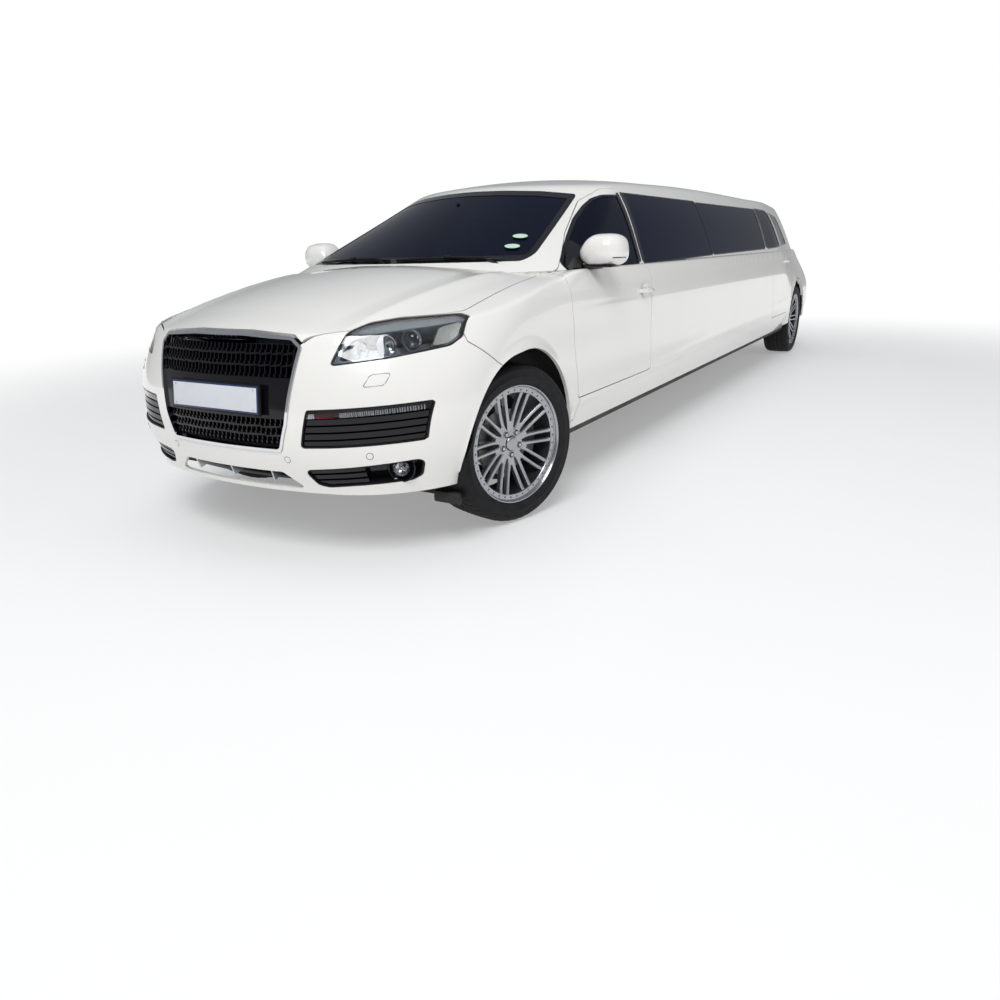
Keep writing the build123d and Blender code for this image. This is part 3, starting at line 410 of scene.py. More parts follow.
def shrunk(outline, by):
    """Outline moved in by a distance, keeping its corners sharp."""
    area = sum(x1 * y2 - x2 * y1 for (x1, y1), (x2, y2) in zip(outline, outline[1:] + outline[:1]))
    turn = 1 if area > 0 else -1
    out = []
    for before, at, after in zip(outline[-1:] + outline[:-1], outline, outline[1:] + outline[:1]):
        d1 = Vector(at) - Vector(before)
        d2 = Vector(after) - Vector(at)
        d1.normalize()
        d2.normalize()
        n1, n2 = Vector((-d1.y, d1.x)) * turn, Vector((-d2.y, d2.x)) * turn
        m = n1 + n2
        m = m / max(m.dot(n1), 0.3)
        out.append((at[0] + m.x * by, at[1] + m.y * by))
    return out


VIEW_AXES = {"side": (0, 2), "front": (1, 2), "plan": (0, 1)}


def within(view, outline, gap=0.0, corner=0.02):
    """Field of an outline in one view, grown by the gap, with round corners."""
    one, two = VIEW_AXES[view]
    core = shrunk(list(outline), corner)
    return lambda p: distance(core, p[:, one], p[:, two]) - corner - gap


def beyond(field):
    """Everything outside a field."""
    return lambda p: -field(p)


def both(*fields):
    """Where all fields hold."""
    return lambda p: np.max([f(p) for f in fields], axis=0)


def above(z):
    """Above a height."""
    return lambda p: z - p[:, 2]


def below(z):
    """Below a height."""
    return lambda p: p[:, 2] - z


def outboard(y):
    """Left of a place across the car."""
    return lambda p: y - p[:, 1]


def arch(axle_x, radius):
    """Inside a wheel opening."""
    return lambda p: np.hypot(p[:, 0] - axle_x, p[:, 2] - ARCH_Z) - radius


# Wheel openings; the front one reaches further ahead
ARCH_Z = 0.388
ARCH_RADIUS = 0.432
ARCH_LEAD = 0.062
LEAD_RADIUS = 0.426
# Half of a shut line, and of one above the belt
SHUT = 0.0028
FINE_SHUT = 0.0009

# Side view outlines
FRONT_DOOR = [(front(u), z) for u, z in (
    (0.535, 0.500), (0.490, 1.020), (0.478, 1.130), (0.560, 1.150), (0.870, 1.322), (1.255, 1.505),
    (1.500, 1.578), (1.700, 1.590), (1.662, 1.100), (1.620, 0.500))]
FRONT_DOOR_GLASS = [(front(u), z) for u, z in (
    (0.600, 1.148), (0.735, 1.236), (0.862, 1.301), (1.050, 1.392), (1.225, 1.465), (1.350, 1.510),
    (1.460, 1.532), (1.652, 1.540), (1.606, 1.138))]
REAR_DOOR = [(rear(u), z) for u, z in (
    (1.300, 0.500), (1.358, 1.050), (1.362, 1.130), (1.300, 1.590), (0.760, 1.582), (0.640, 1.550),
    (0.420, 1.190), (0.400, 0.950), (0.470, 0.750), (0.540, 0.500))]
REAR_DOOR_GLASS = [(rear(u), z) for u, z in (
    (1.305, 1.185), (1.262, 1.558), (0.840, 1.550), (0.760, 1.525), (0.640, 1.200))]
STRETCH_PANES = (
    [(front(1.690), 1.142), (front(1.762), 1.560), (front(3.272), 1.560), (front(3.272), 1.166)],
    [(front(3.284), 1.166), (front(3.284), 1.552), (rear(1.352), 1.552), (rear(1.412), 1.183)])
QUARTER_GLASS = [(rear(u), z) for u, z in ((0.590, 1.205), (0.715, 1.530), (0.100, 1.505), (-0.250, 1.222))]
FIXED_PANES = STRETCH_PANES + (QUARTER_GLASS,)
TAILGATE = [(rear(-u), z) for u, z in (
    (0.440, 1.760), (0.530, 1.600), (0.640, 1.250), (0.790, 1.050), (0.860, 0.800), (1.300, 0.800),
    (1.300, 1.760))]
REAR_BUMPER = [(rear(-u), z) for u, z in (
    (0, 0.388), (0.420, 0.660), (0.846, 0.792), (1.300, 0.792), (1.300, 0.250), (0, 0.250))]
FENDER = [(front(u), z) for u, z in (
    (0, 0.388), (-0.238, 0.779), (-0.398, 0.895), (-0.420, 1.300), (0.455, 1.300), (0.455, 1.120),
    (0.560, 1.090), (0.560, 0.372), (0, 0.372))]
FRONT_BUMPER = [(front(u), z) for u, z in (
    (0, 0.388), (-0.238, 0.779), (-0.398, 0.895), (-0.420, 1.300), (-1.100, 1.300), (-1.100, 0.250),
    (0, 0.250))]

# Front view outlines of the left half, and plan outline of the bonnet
WINDSCREEN = [(0.728, 1.197), (0.603, 1.540), (0.420, 1.562), (0.200, 1.574), (0, 1.578),
              (-0.200, 1.574), (-0.420, 1.562), (-0.603, 1.540), (-0.728, 1.197)]
GRILLE = [(0.421, 0.905), (0.405, 0.790), (0.372, 0.600), (0.330, 0.484), (-0.330, 0.484), (-0.372, 0.600),
          (-0.405, 0.790), (-0.421, 0.905), (-0.375, 0.942), (-0.150, 0.956), (0.150, 0.956), (0.375, 0.942)]
HEADLAMP = [(0.540, 0.832), (0.563, 0.911), (0.578, 0.963), (0.602, 0.984), (0.670, 0.996), (0.837, 1.002),
            (0.886, 0.990), (0.899, 0.915), (0.882, 0.885), (0.813, 0.870), (0.736, 0.855)]
VENT = [(0.458, 0.664), (0.887, 0.689), (0.866, 0.529), (0.420, 0.505)]
FOG_OPENING = [(0.402, 0.409), (0.852, 0.454), (0.828, 0.374), (0.795, 0.356), (0.600, 0.342), (0.496, 0.331),
               (0.450, 0.340)]
INTAKE = [(0.300, 0.392), (0.385, 0.322), (-0.385, 0.322), (-0.300, 0.392)]
TAIL_GLASS = [(0.640, 1.205), (0.520, 1.560), (-0.520, 1.560), (-0.640, 1.205)]
TAIL_LAMP = [(0.520, 0.960), (0.560, 1.110), (1.000, 1.130), (1.000, 0.870), (0.700, 0.880)]
BONNET_HALF = [(-0.185, 0), (-0.235, 0.350), (-0.400, 0.790), (-0.380, 0.830), (0.250, 0.838), (0.300, 0.835),
               (0.591, 0.671), (0.723, 0.581), (0.838, 0.414), (1.100, 0.414)]
BONNET = [(FRONT_AXLE + x, y) for x, y in BONNET_HALF]
BONNET += [(x, -y) for x, y in reversed(BONNET[1:])]
BONNET_LOW = 0.915

FINE_X = [np.arange(3.70, 2.80, -0.016), np.arange(2.80, -2.64, -0.030), np.arange(-2.64, -3.76, -0.016)]
SIDE_XS = np.concatenate(FINE_X)


def swell(points, normals):
    """Flared lips round the wheel openings and creases along the side, as moves of the skin."""
    x, y, z = points.T
    out = np.zeros(len(points))
    for axle_x in (FRONT_AXLE, REAR_AXLE):
        ring = np.hypot(x - axle_x, z - ARCH_Z)
        lip = np.clip((0.500 - ring) / 0.068, 0, 1)
        lip = lip * lip * (3 - 2 * lip)
        want = 0.9915 - 0.010 * np.clip((ring - ARCH_RADIUS) / 0.05, 0, 1)
        stand = np.clip(want - np.abs(y), 0, 0.045)
        out += np.where((ring < 0.500) & (np.abs(y) > 0.80) & (z > 0.36), lip * stand, 0)
    shoulder = 1.034 + 0.0148 * np.clip(FRONT_AXLE - 0.36 - x, 0, 7)
    t = (z - shoulder) / 0.085
    on_side = np.clip((FRONT_AXLE + 0.1 - x) / 0.5, 0, 1) * np.clip((x - REAR_AXLE + 0.9) / 0.3, 0, 1)
    out += 0.007 * on_side * np.clip(1 - np.abs(t), 0, 1) ** 1.4 * (np.abs(y) > 0.8)
    sill = (z - 0.476 - 0.0225 * np.clip(FRONT_AXLE - 0.4 - x, 0, 6)) / 0.045
    sill_run = np.clip((FRONT_AXLE - 0.46 - x) / 0.15, 0, 1) * np.clip((x - REAR_AXLE - 0.46) / 0.15, 0, 1)
    out += 0.008 * sill_run * np.clip(1 - np.abs(sill), 0, 1) ** 1.2
    return points + normals * out[:, None]


def crease_bonnet(points, normals):
    """Two ridges on the bonnet, from the windscreen corners towards the lamps."""
    x, y, z = points.T
    u = x - FRONT_AXLE
    line = 0.66 - 0.11 * (u + 0.3) / 1.1
    t = (np.abs(y) - line) / 0.11
    keep = np.clip((u + 0.42) / 0.2, 0, 1) * np.clip((0.84 - u) / 0.25, 0, 1) * (z > 0.9)
    return points + normals * (0.010 * keep * np.clip(1 - np.abs(t), 0, 1) ** 1.5)[:, None]


def narrow_tail(points, normals):
    """Sides drawn in towards the tail."""
    x, y, z = points.T
    along = np.clip((rear(0.9) - x) / 1.3, 0, 1)
    high = np.clip((z - 0.72) / 0.40, 0, 1)
    moved = points.copy()
    moved[:, 1] -= 0.12 * along * along * (3 - 2 * along) * high * high * (3 - 2 * high) * y / 0.9
    return moved


def reseat(grid, *moves):
    """Grid after its moves, as a skin with fresh normals."""
    for move in moves:
        n = grid_normals(grid)
        grid = move(grid.reshape(-1, 3), n.reshape(-1, 3)).reshape(grid.shape)
    return grid_skin(grid)


LOWER = reseat(form(LOWER_LEVELS, BONNET_TOP, 0.300, 1.20, (front(1.2), front(-0.45)), 70, 56, (40, 56),
                    SIDE_XS, 0.022), swell, crease_bonnet, narrow_tail)
UPPER = reseat(form(UPPER_LEVELS, ROOF_TOP, 1.090, 1.72, (rear(-0.30), front(1.75)), 44, 46, (40, 30),
                    SIDE_XS, 0.030), narrow_tail)


def object_from(name, points, faces, body, materials, loop_normals, slot=None):
    """New mesh object that rides a body."""
    mesh = bpy.data.meshes.new(name)
    mesh.from_pydata([tuple(map(float, p)) for p in points], [], [tuple(map(int, f)) for f in faces])
    for material in materials:
        mesh.materials.append(FINISH[material])
    mesh.polygons.foreach_set("use_smooth", [True] * len(mesh.polygons))
    mesh.normals_split_custom_set([tuple(map(float, n)) for n in loop_normals])
    mesh.update()
    obj = bpy.data.objects.new(name, mesh)
    bpy.context.scene.collection.objects.link(obj)
    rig.ride(obj, body)
    if slot:
        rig.slot(obj, slot)
    return obj


def panel(name, skin, body, material, thick=0.010, sink=0.0, inner=False, slot=None, inner_material=None):
    """Sheet piece in named finishes: outer skin, folded edge and, if asked, its inner face."""
    depth = thick(skin.points) if callable(thick) else np.full(len(skin.points), thick)
    n = skin.normals / (np.linalg.norm(skin.normals, axis=1, keepdims=True) + 1e-12)
    top = skin.points - n * sink
    back = top - n * depth[:, None]
    edges = skin.rim()
    size = len(top)
    faces = [skin.faces]
    loops = [n[skin.faces].reshape(-1, 3)]
    a, b = edges[:, 0], edges[:, 1]
    points = np.vstack((top, back))
    strip = np.vstack((np.column_stack((a, a + size, b + size)), np.column_stack((a, b + size, b))))
    p = points[strip]
    flat = np.cross(p[:, 1] - p[:, 0], p[:, 2] - p[:, 0])
    flat /= np.linalg.norm(flat, axis=1, keepdims=True) + 1e-12
    faces.append(strip)
    loops.append(np.repeat(flat, 3, axis=0))
    marks = [np.zeros(len(skin.faces), int), np.zeros(len(strip), int)]
    if inner:
        faces.append(skin.faces[:, ::-1] + size)
        loops.append(-n[skin.faces[:, ::-1]].reshape(-1, 3))
        marks.append(np.ones(len(skin.faces), int) if inner_material else np.zeros(len(skin.faces), int))
    materials = [material] + ([inner_material] if inner_material else [])
    obj = object_from(name, points, np.vstack(faces), body, materials, np.vstack(loops), slot=slot)
    obj.data.polygons.foreach_set("material_index", np.concatenate(marks).astype(np.int32))
    return obj


# Materials, by name


FINISH = {}


def node_set(name):
    """New node material: its nodes, links and main shader."""
    material = bpy.data.materials.new(name)
    material.use_nodes = True
    tree = material.node_tree
    return material, tree.nodes, tree.links, tree.nodes["Principled BSDF"]


def noise(nodes, links, scale, detail=4.0, rough=0.55, stretch=(1, 1, 1)):
    """Noise laid over the object's own place."""
    place = nodes.new("ShaderNodeTexCoord")
    mapping = nodes.new("ShaderNodeMapping")
    mapping.inputs["Scale"].default_value = stretch
    texture = nodes.new("ShaderNodeTexNoise")
    texture.inputs["Scale"].default_value = scale
    texture.inputs["Detail"].default_value = detail
    texture.inputs["Roughness"].default_value = rough
    links.new(place.outputs["Object"], mapping.inputs["Vector"])
    links.new(mapping.outputs["Vector"], texture.inputs["Vector"])
    return texture


def ramp(nodes, links, source, low, high, start=0.35, end=0.65):
    """Two colours spread over a noise."""
    node = nodes.new("ShaderNodeValToRGB")
    node.color_ramp.elements[0].position, node.color_ramp.elements[1].position = start, end
    node.color_ramp.elements[0].color = (*low, 1)
    node.color_ramp.elements[1].color = (*high, 1)
    links.new(source, node.inputs["Fac"])
    return node


def shades(color, spread):
    """A darker and a lighter neighbour of a colour."""
    return [c * (1 - spread) for c in color[:3]], [min(1, c * (1 + spread)) for c in color[:3]]


def finish(name, color, rough=0.5, metal=0.0, coat=0.0, spread=0.05, scale=6.0, bump=0.0, bump_scale=300.0,
           stretch=(1, 1, 1), rough_spread=0.06, **inputs):
    """Opaque surface with slight changes of colour, roughness and relief."""
    material, nodes, links, shader = node_set(name)
    cloud = noise(nodes, links, scale, stretch=stretch)
    low, high = shades(color, spread)
    links.new(ramp(nodes, links, cloud.outputs["Fac"], low, high).outputs["Color"], shader.inputs["Base Color"])
    spread_map = nodes.new("ShaderNodeMapRange")
    spread_map.inputs["To Min"].default_value = max(rough - rough_spread, 0.0)
    spread_map.inputs["To Max"].default_value = min(rough + rough_spread, 1.0)
    links.new(cloud.outputs["Fac"], spread_map.inputs["Value"])
    links.new(spread_map.outputs["Result"], shader.inputs["Roughness"])
    shader.inputs["Metallic"].default_value = metal
    shader.inputs["Coat Weight"].default_value = coat
    shader.inputs["Coat Roughness"].default_value = 0.03
    for key, value in inputs.items():
        shader.inputs[key.replace("_", " ")].default_value = value
    if bump:
        grain = noise(nodes, links, bump_scale, 3.0, stretch=stretch)
        relief = nodes.new("ShaderNodeBump")
        relief.inputs["Strength"].default_value = bump
        relief.inputs["Distance"].default_value = 0.001
        links.new(grain.outputs["Fac"], relief.inputs["Height"])
        links.new(relief.outputs["Normal"], shader.inputs["Normal"])
    return material


def glass(name, color, rough=0.0, spread=0.08, ior=1.45, clear=1.0):
    """Tinted glass that light passes through."""
    material, nodes, links, shader = node_set(name)
    cloud = noise(nodes, links, 1.5)
    low, high = shades(color, spread)
    links.new(ramp(nodes, links, cloud.outputs["Fac"], low, high).outputs["Color"], shader.inputs["Base Color"])
    shader.inputs["Roughness"].default_value = rough
    shader.inputs["Transmission Weight"].default_value = clear
    shader.inputs["IOR"].default_value = ior
    return material


def colour(name, description, default):
    """Colour setting."""
    return FloatVectorProperty(name=name, description=description, subtype="COLOR", default=default,
                               min=0, max=1)


class LimousineFinish(bpy.types.PropertyGroup):
    """Colours of the main surfaces."""
    paint: colour("Paint", "Colour of the body paint", (0.785, 0.775, 0.745))
    tint: colour("Window tint", "Tint of the cabin windows", (0.005, 0.011, 0.040))
    screen: colour("Windscreen tint", "Tint of the windscreen and front door glass", (0.018, 0.034, 0.095))
    leather: colour("Leather", "Colour of the seats", (0.045, 0.042, 0.042))
    alloy: colour("Wheel alloy", "Colour of the wheels", (0.40, 0.41, 0.43))


class LimousineSizes(bpy.types.PropertyGroup):
    """Sizes of the details that CAD leaves to the looks."""
    tread_depth: FloatProperty(name="Tread depth", description="Depth of the tyre grooves", default=0.007,
                               min=0.002, max=0.012, unit="LENGTH")
    tread_blocks: IntProperty(name="Tread blocks", description="Tread blocks round a tyre", default=56,
                              min=20, max=90)
    screws: IntProperty(name="Rim screws", description="Small screws round the rim", default=40, min=10, max=60)
    seat_crown: FloatProperty(name="Seat crown", description="Crown of the seat cushions", default=0.028,
                              min=0.005, max=0.06, unit="LENGTH")
    lens: FloatProperty(name="Lens", description="Focal length of the camera", default=27.557, min=10, max=200,
                        unit="CAMERA")


def make_finishes(colours):
    """All materials, by name."""
    FINISH.update(
        paint=finish("White paint", colours.paint, 0.22, coat=1.0, spread=0.012, scale=1.2, rough_spread=0.03,
                     bump=0.02, bump_scale=900),
        inside=finish("Inner metal", (0.30, 0.30, 0.295), 0.5, coat=0.2, spread=0.06),
        dark=finish("Black plastic", (0.0055, 0.0058, 0.0070), 0.46, spread=0.2, scale=30, bump=0.25,
                    bump_scale=1400, Specular_IOR_Level=0.22),
        gloss=finish("Gloss black", (0.004, 0.004, 0.006), 0.10, coat=0.15, spread=0.15, rough_spread=0.04,
                     Specular_IOR_Level=0.30),
        rubber=finish("Seal rubber", (0.012, 0.012, 0.013), 0.62, spread=0.2, scale=60, bump=0.2,
                      bump_scale=800),
        chrome=finish("Chrome", (0.78, 0.79, 0.81), 0.06, metal=1.0, spread=0.03, rough_spread=0.03),
        satin=finish("Satin chrome", (0.55, 0.56, 0.58), 0.28, metal=1.0, spread=0.05),
        alloy=finish("Wheel alloy", colours.alloy, 0.24, metal=0.85, coat=0.4, spread=0.06, scale=18,
                     rough_spread=0.08),
        tyre=finish("Tyre rubber", (0.0110, 0.0110, 0.0120), 0.66, spread=0.25, scale=25, bump=0.3,
                    bump_scale=600, Specular_IOR_Level=0.25),
        # Dark metal laid just inside each rim barrel: painted shade in the wheel's hollow
        well=finish("Wheel well metal", (0.030, 0.031, 0.034), 0.50, metal=0.4, spread=0.15, scale=22),
        iron=finish("Brake iron", (0.30, 0.29, 0.28), 0.34, metal=0.9, spread=0.18, scale=20,
                    rough_spread=0.1),
        cast=finish("Cast metal", (0.14, 0.14, 0.145), 0.55, metal=0.6, spread=0.25, scale=12, bump=0.4,
                    bump_scale=240),
        under=finish("Underbody", (0.045, 0.044, 0.043), 0.75, spread=0.3, scale=8, bump=0.5, bump_scale=160),
        steel=finish("Exhaust steel", (0.40, 0.385, 0.36), 0.36, metal=0.95, spread=0.15, scale=9),
        trim=finish("Grained trim", (0.022, 0.022, 0.024), 0.6, spread=0.15, scale=20, bump=0.5,
                    bump_scale=700),
        pale=finish("Pale trim", (0.42, 0.41, 0.39), 0.7, spread=0.06, scale=15, bump=0.3, bump_scale=500),
        leather=finish("Seat leather", colours.leather, 0.48, spread=0.25, scale=14, bump=0.6, bump_scale=420),
        carpet=finish("Carpet", (0.03, 0.03, 0.032), 0.95, spread=0.4, scale=220, bump=0.8, bump_scale=900),
        wood=finish("Dark veneer", (0.05, 0.028, 0.016), 0.25, coat=0.8, spread=0.4, scale=8,
                    stretch=(1, 1, 9)),
        plate=finish("Plate face", (0.62, 0.64, 0.68), 0.35, spread=0.03, scale=10),
        blue=finish("Plate frame", (0.02, 0.03, 0.10), 0.35, spread=0.15),
        red=finish("Red tag", (0.55, 0.02, 0.02), 0.6, spread=0.1, scale=40, bump=0.3),
        disc=finish("Pale green disc", (0.46, 0.62, 0.50), 0.6, spread=0.06, scale=60),
        bowl=finish("Lamp bowl", (0.55, 0.56, 0.58), 0.15, metal=1.0, spread=0.05, scale=40),
        shroud=finish("Lamp shroud", (0.16, 0.17, 0.18), 0.35, metal=0.4, spread=0.12, scale=24),
        tint=glass("Privacy glass", colours.tint, ior=1.13, clear=0.5),
        screen=glass("Windscreen glass", colours.screen, ior=1.14, clear=0.9),
        lens=glass("Clear lens", (0.90, 0.93, 0.95)),
        looking_glass=finish("Mirror glass", (0.75, 0.78, 0.80), 0.03, metal=1.0, spread=0.02,
                             rough_spread=0.02),
        gloss_lens=glass("Projector lens", (0.55, 0.60, 0.66)),
        silver=finish("Lamp mask", (0.17, 0.19, 0.21), 0.32, metal=0.6, spread=0.08, scale=18),
        frost=finish("Signal reflector", (0.66, 0.65, 0.60), 0.25, metal=0.35, coat=0.5, spread=0.12, scale=160,
                     bump=0.6, bump_scale=260),
        ruby=glass("Red lens", (0.55, 0.015, 0.015), rough=0.05),
        amber=glass("Amber lens", (0.85, 0.30, 0.03), rough=0.05),
    )


# Body panels


SIDES = (("left", 1), ("right", -1))


def side_hole(outline, gap, corner, region=None):
    """Outside an outline in side view."""
    return hole(within("side", outline, gap, corner), region)


def door_field(outline, way):
    """Inside a door outline, with a finer gap above the belt."""
    field = within("side", outline, 0, 0.022)
    return lambda p: field(p) - way * np.where(p[:, 2] > 1.15, FINE_SHUT, SHUT)


DOOR_FIELDS = {"front": door_field(FRONT_DOOR, -1), "rear": door_field(REAR_DOOR, -1)}
DOOR_HOLES = {"front": door_field(FRONT_DOOR, 1), "rear": door_field(REAR_DOOR, 1)}
LAMP_HOLE = within("front", HEADLAMP, 0.001, 0.012)
BONNET_IN = both(within("plan", BONNET, -SHUT, 0.030), above(BONNET_LOW + SHUT))
BONNET_OUT = beyond(both(within("plan", BONNET, SHUT, 0.030), above(BONNET_LOW - SHUT)))
AHEAD = lambda p: FRONT_AXLE + 0.15 - p[:, 0]
SCREEN_END = lambda p: front(1.6) - p[:, 0]
TAIL_END = lambda p: p[:, 0] - rear(-0.4)
CABIN_SIDE = outboard(0.5)
ARCHES = both(beyond(arch(FRONT_AXLE, ARCH_RADIUS)), beyond(arch(FRONT_AXLE + ARCH_LEAD, LEAD_RADIUS)),
              beyond(arch(REAR_AXLE, ARCH_RADIUS)))


def hole(field, region=None):
    """Outside a cut-out that reaches only one end of the car."""
    return beyond(both(field, region) if region else field)


def belt(points):
    """Height where the cabin leaves the lower body."""
    return 1.142 + 0.0115 * np.clip(FRONT_AXLE - 1.5 - points[:, 0], 0, 0.5)


def over_belt(points):
    """Field of the cabin above the belt."""
    return belt(points) - points[:, 2]


def two_sided(skin):
    """Left skin with its mirror image."""
    return skin.joined(skin.mirrored())


def merged(skins):
    """Skins joined in turn."""
    return reduce(Skin.joined, skins)


class LIMO_OT_panels(bpy.types.Operator):
    """Build the painted body panels with their shut lines"""
    bl_idname = "limo.panels"
    bl_label = "Body panels"

    def execute(self, context):
        low = LOWER.clip(ARCHES)
        below_belt = lambda p: np.where(p[:, 0] < front(0.46), p[:, 2] - belt(p), -1)
        in_cab = both(lambda p: p[:, 0] - front(0.40), lambda p: np.abs(p[:, 1]) - np.interp(
            p[:, 0], (rear(-0.80), rear(-0.20), rear(0.30), rear(0.90), front(1.70), front(1.00)),
            (0.665, 0.765, 0.825, 0.870, 0.870, 0.800)))
        # Bonnet
        bonnet = LOWER.clip(BONNET_IN).clip(hole(within("front", GRILLE, 0.010, 0.02), AHEAD)).clip(
            hole(within("front", HEADLAMP, SHUT, 0.014), AHEAD))
        obj = panel("bonnet_skin", two_sided(bonnet), "bonnet", "paint", 0.018, inner=True, slot="paint",
                    inner_material="inside")
        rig.replaces(obj, "bonnet")
        # Fenders
        fender = low.clip(within("side", FENDER, -SHUT, 0.006)).clip(BONNET_OUT).clip(outboard(0.45)).clip(
            hole(LAMP_HOLE, AHEAD)).clip(beyond(DOOR_HOLES["front"])).clip(
            hole(within("front", WINDSCREEN, 0.004, 0.03), lambda p: p[:, 0] - front(0.2)))
        obj = panel("fender_skins", two_sided(fender), "body", "paint", 0.016, slot="paint")
        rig.replaces(obj, "fenders")
        # Front bumper
        bumper = low.clip(within("side", FRONT_BUMPER, -SHUT, 0.004)).clip(BONNET_OUT)
        for outline, grow, corner in ((GRILLE, 0, 0.02), (HEADLAMP, 0.001, 0.012), (VENT, 0, 0.012),
                                      (FOG_OPENING, 0, 0.02), (INTAKE, 0, 0.01)):
            bumper = bumper.clip(hole(within("front", outline, grow, corner), AHEAD))
        obj = panel("front_bumper_skin", two_sided(bumper), "body", "paint", 0.014, slot="paint")
        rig.replaces(obj, "front_bumper")
        # Long sides, sills and cowl
        side = low.clip(side_hole(FENDER, SHUT, 0.006)).clip(lambda p: p[:, 0] - front(0.20)).clip(
            beyond(in_cab))
        cab = UPPER.clip(over_belt).clip(hole(within("front", WINDSCREEN, 0.002, 0.03), SCREEN_END))
        for door_hole in DOOR_HOLES.values():
            side, cab = side.clip(beyond(door_hole)), cab.clip(beyond(door_hole))
        for outline, grow, corner in ((TAILGATE, SHUT, 0.02), (REAR_BUMPER, SHUT, 0.01)):
            side = side.clip(side_hole(outline, grow, corner))
        side = side.clip(BONNET_OUT).clip(side_hole(FRONT_BUMPER, 0, 0.004))
        for pane in FIXED_PANES:
            cab = cab.clip(side_hole(pane, 0.001, 0.02, CABIN_SIDE))
        shell = side.joined(cab.clip(side_hole(TAILGATE, SHUT, 0.02)))
        obj = panel("cabin_shell", two_sided(shell), "body", "paint", 0.030, slot="paint")
        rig.replaces(obj, "body_sides", "roof_panel")
        # Rear bumper and tailgate
        bumper = low.clip(within("side", REAR_BUMPER, -SHUT, 0.01))
        obj = panel("rear_bumper_skin", two_sided(bumper), "body", "paint", 0.014, slot="paint")
        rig.replaces(obj, "rear_bumper")
        in_gate, lamp_hole = within("side", TAILGATE, -SHUT, 0.02), hole(within("front", TAIL_LAMP, 0, 0.02))
        gate_low = LOWER.clip(in_gate).clip(below_belt).clip(lamp_hole)
        gate_high = UPPER.clip(in_gate).clip(over_belt).clip(
            hole(within("front", TAIL_GLASS, 0.001, 0.03))).clip(lamp_hole)
        obj = panel("tailgate_skin", two_sided(gate_low.joined(gate_high)), "tailgate", "paint", 0.030,
                    inner=True, slot="paint", inner_material="trim")
        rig.replaces(obj, "tailgate")
        # Doors
        thick = lambda p: np.where(p[:, 2] < belt(p) + 0.002, 0.070, 0.040)
        for place, pane in (("front", FRONT_DOOR_GLASS), ("rear", REAR_DOOR_GLASS)):
            leaf = LOWER.clip(DOOR_FIELDS[place]).clip(below_belt).clip(CABIN_SIDE)
            top = UPPER.clip(DOOR_FIELDS[place]).clip(over_belt).clip(CABIN_SIDE).clip(
                side_hole(pane, 0.001, 0.02))
            whole = leaf.joined(top)
            for side_name, skin in (("left", whole), ("right", whole.mirrored())):
                door = f"door_{place}_{side_name}"
                obj = panel(f"door_skin_{place}_{side_name}", skin, door, "paint", thick, inner=True,
                            slot="paint", inner_material="trim")
                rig.replaces(obj, door)
        return {"FINISHED"}


class LIMO_OT_windows(bpy.types.Operator):
    """Build the windscreen, door glass, long side panes and tail window"""
    bl_idname = "limo.windows"
    bl_label = "Windows"

    def execute(self, context):
        pane = UPPER.clip(both(within("front", WINDSCREEN, -0.002, 0.03), SCREEN_END))
        obj = panel("windscreen_glass", two_sided(pane), "body", "screen", 0.005, 0.002, True, "clear_glass")
        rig.replaces(obj, "windscreen")
        long_panes = merged(UPPER.clip(both(within("side", outline, -0.002, 0.02), CABIN_SIDE))
                            for outline in FIXED_PANES)
        obj = panel("long_side_glass", two_sided(long_panes), "body", "tint", 0.005, 0.001, True, "dark_glass")
        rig.replaces(obj, "side_windows")
        pane = UPPER.clip(both(within("front", TAIL_GLASS, -0.002, 0.03), TAIL_END))
        obj = panel("tail_window", two_sided(pane), "tailgate", "tint", 0.005, 0.002, True, "dark_glass")
        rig.replaces(obj, "tail_glass")
        for place, outline, material in (("front", FRONT_DOOR_GLASS, "screen"),
                                         ("rear", REAR_DOOR_GLASS, "tint")):
            pane = UPPER.clip(both(within("side", outline, -0.001, 0.02), CABIN_SIDE))
            for side_name, skin in (("left", pane), ("right", pane.mirrored())):
                obj = panel(f"door_window_{place}_{side_name}", skin, f"door_{place}_{side_name}", material,
                            0.005, 0.003, True, "dark_glass")
                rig.replaces(obj, f"door_glass_{place}_{side_name}")
        return {"FINISHED"}


# Wheels


def lathe(section, steps):
    """Turned form about Z of a section given as radius and height."""
    section = np.array(section)
    angles = np.linspace(0, 2 * pi, steps, endpoint=False)
    points = np.array([(r * cos(a), r * sin(a), h) for a in angles for r, h in section])
    n = len(section)
    faces = [(i * n + k, ((i + 1) % steps) * n + k, ((i + 1) % steps) * n + k + 1, i * n + k + 1)
             for i in range(steps) for k in range(n - 1)]
    return points, faces


def sweep_bar(path, widths, depth, lift):
    """Closed bar along points in plan with a width at each, its crowned face at the given heights."""
    path = np.array(path, float)
    points, faces = [], []
    for i, (x, y) in enumerate(path):
        ahead = path[min(i + 1, len(path) - 1)] - path[max(i - 1, 0)]
        across = np.array((-ahead[1], ahead[0])) / (np.hypot(*ahead) + 1e-9)
        w = widths[i] / 2
        z = lift[i]
        for offset, h in ((-w, z - depth), (-w, z - 0.004), (-w * 0.55, z), (w * 0.55, z), (w, z - 0.004),
                          (w, z - depth)):
            points.append((x + across[0] * offset, y + across[1] * offset, h))
    for i in range(len(path) - 1):
        for k in range(6):
            j = (k + 1) % 6
            faces.append((i * 6 + k, i * 6 + j, (i + 1) * 6 + j, (i + 1) * 6 + k))
    faces.append(tuple(range(5, -1, -1)))
    faces.append(tuple(range((len(path) - 1) * 6, len(path) * 6)))
    return points, faces


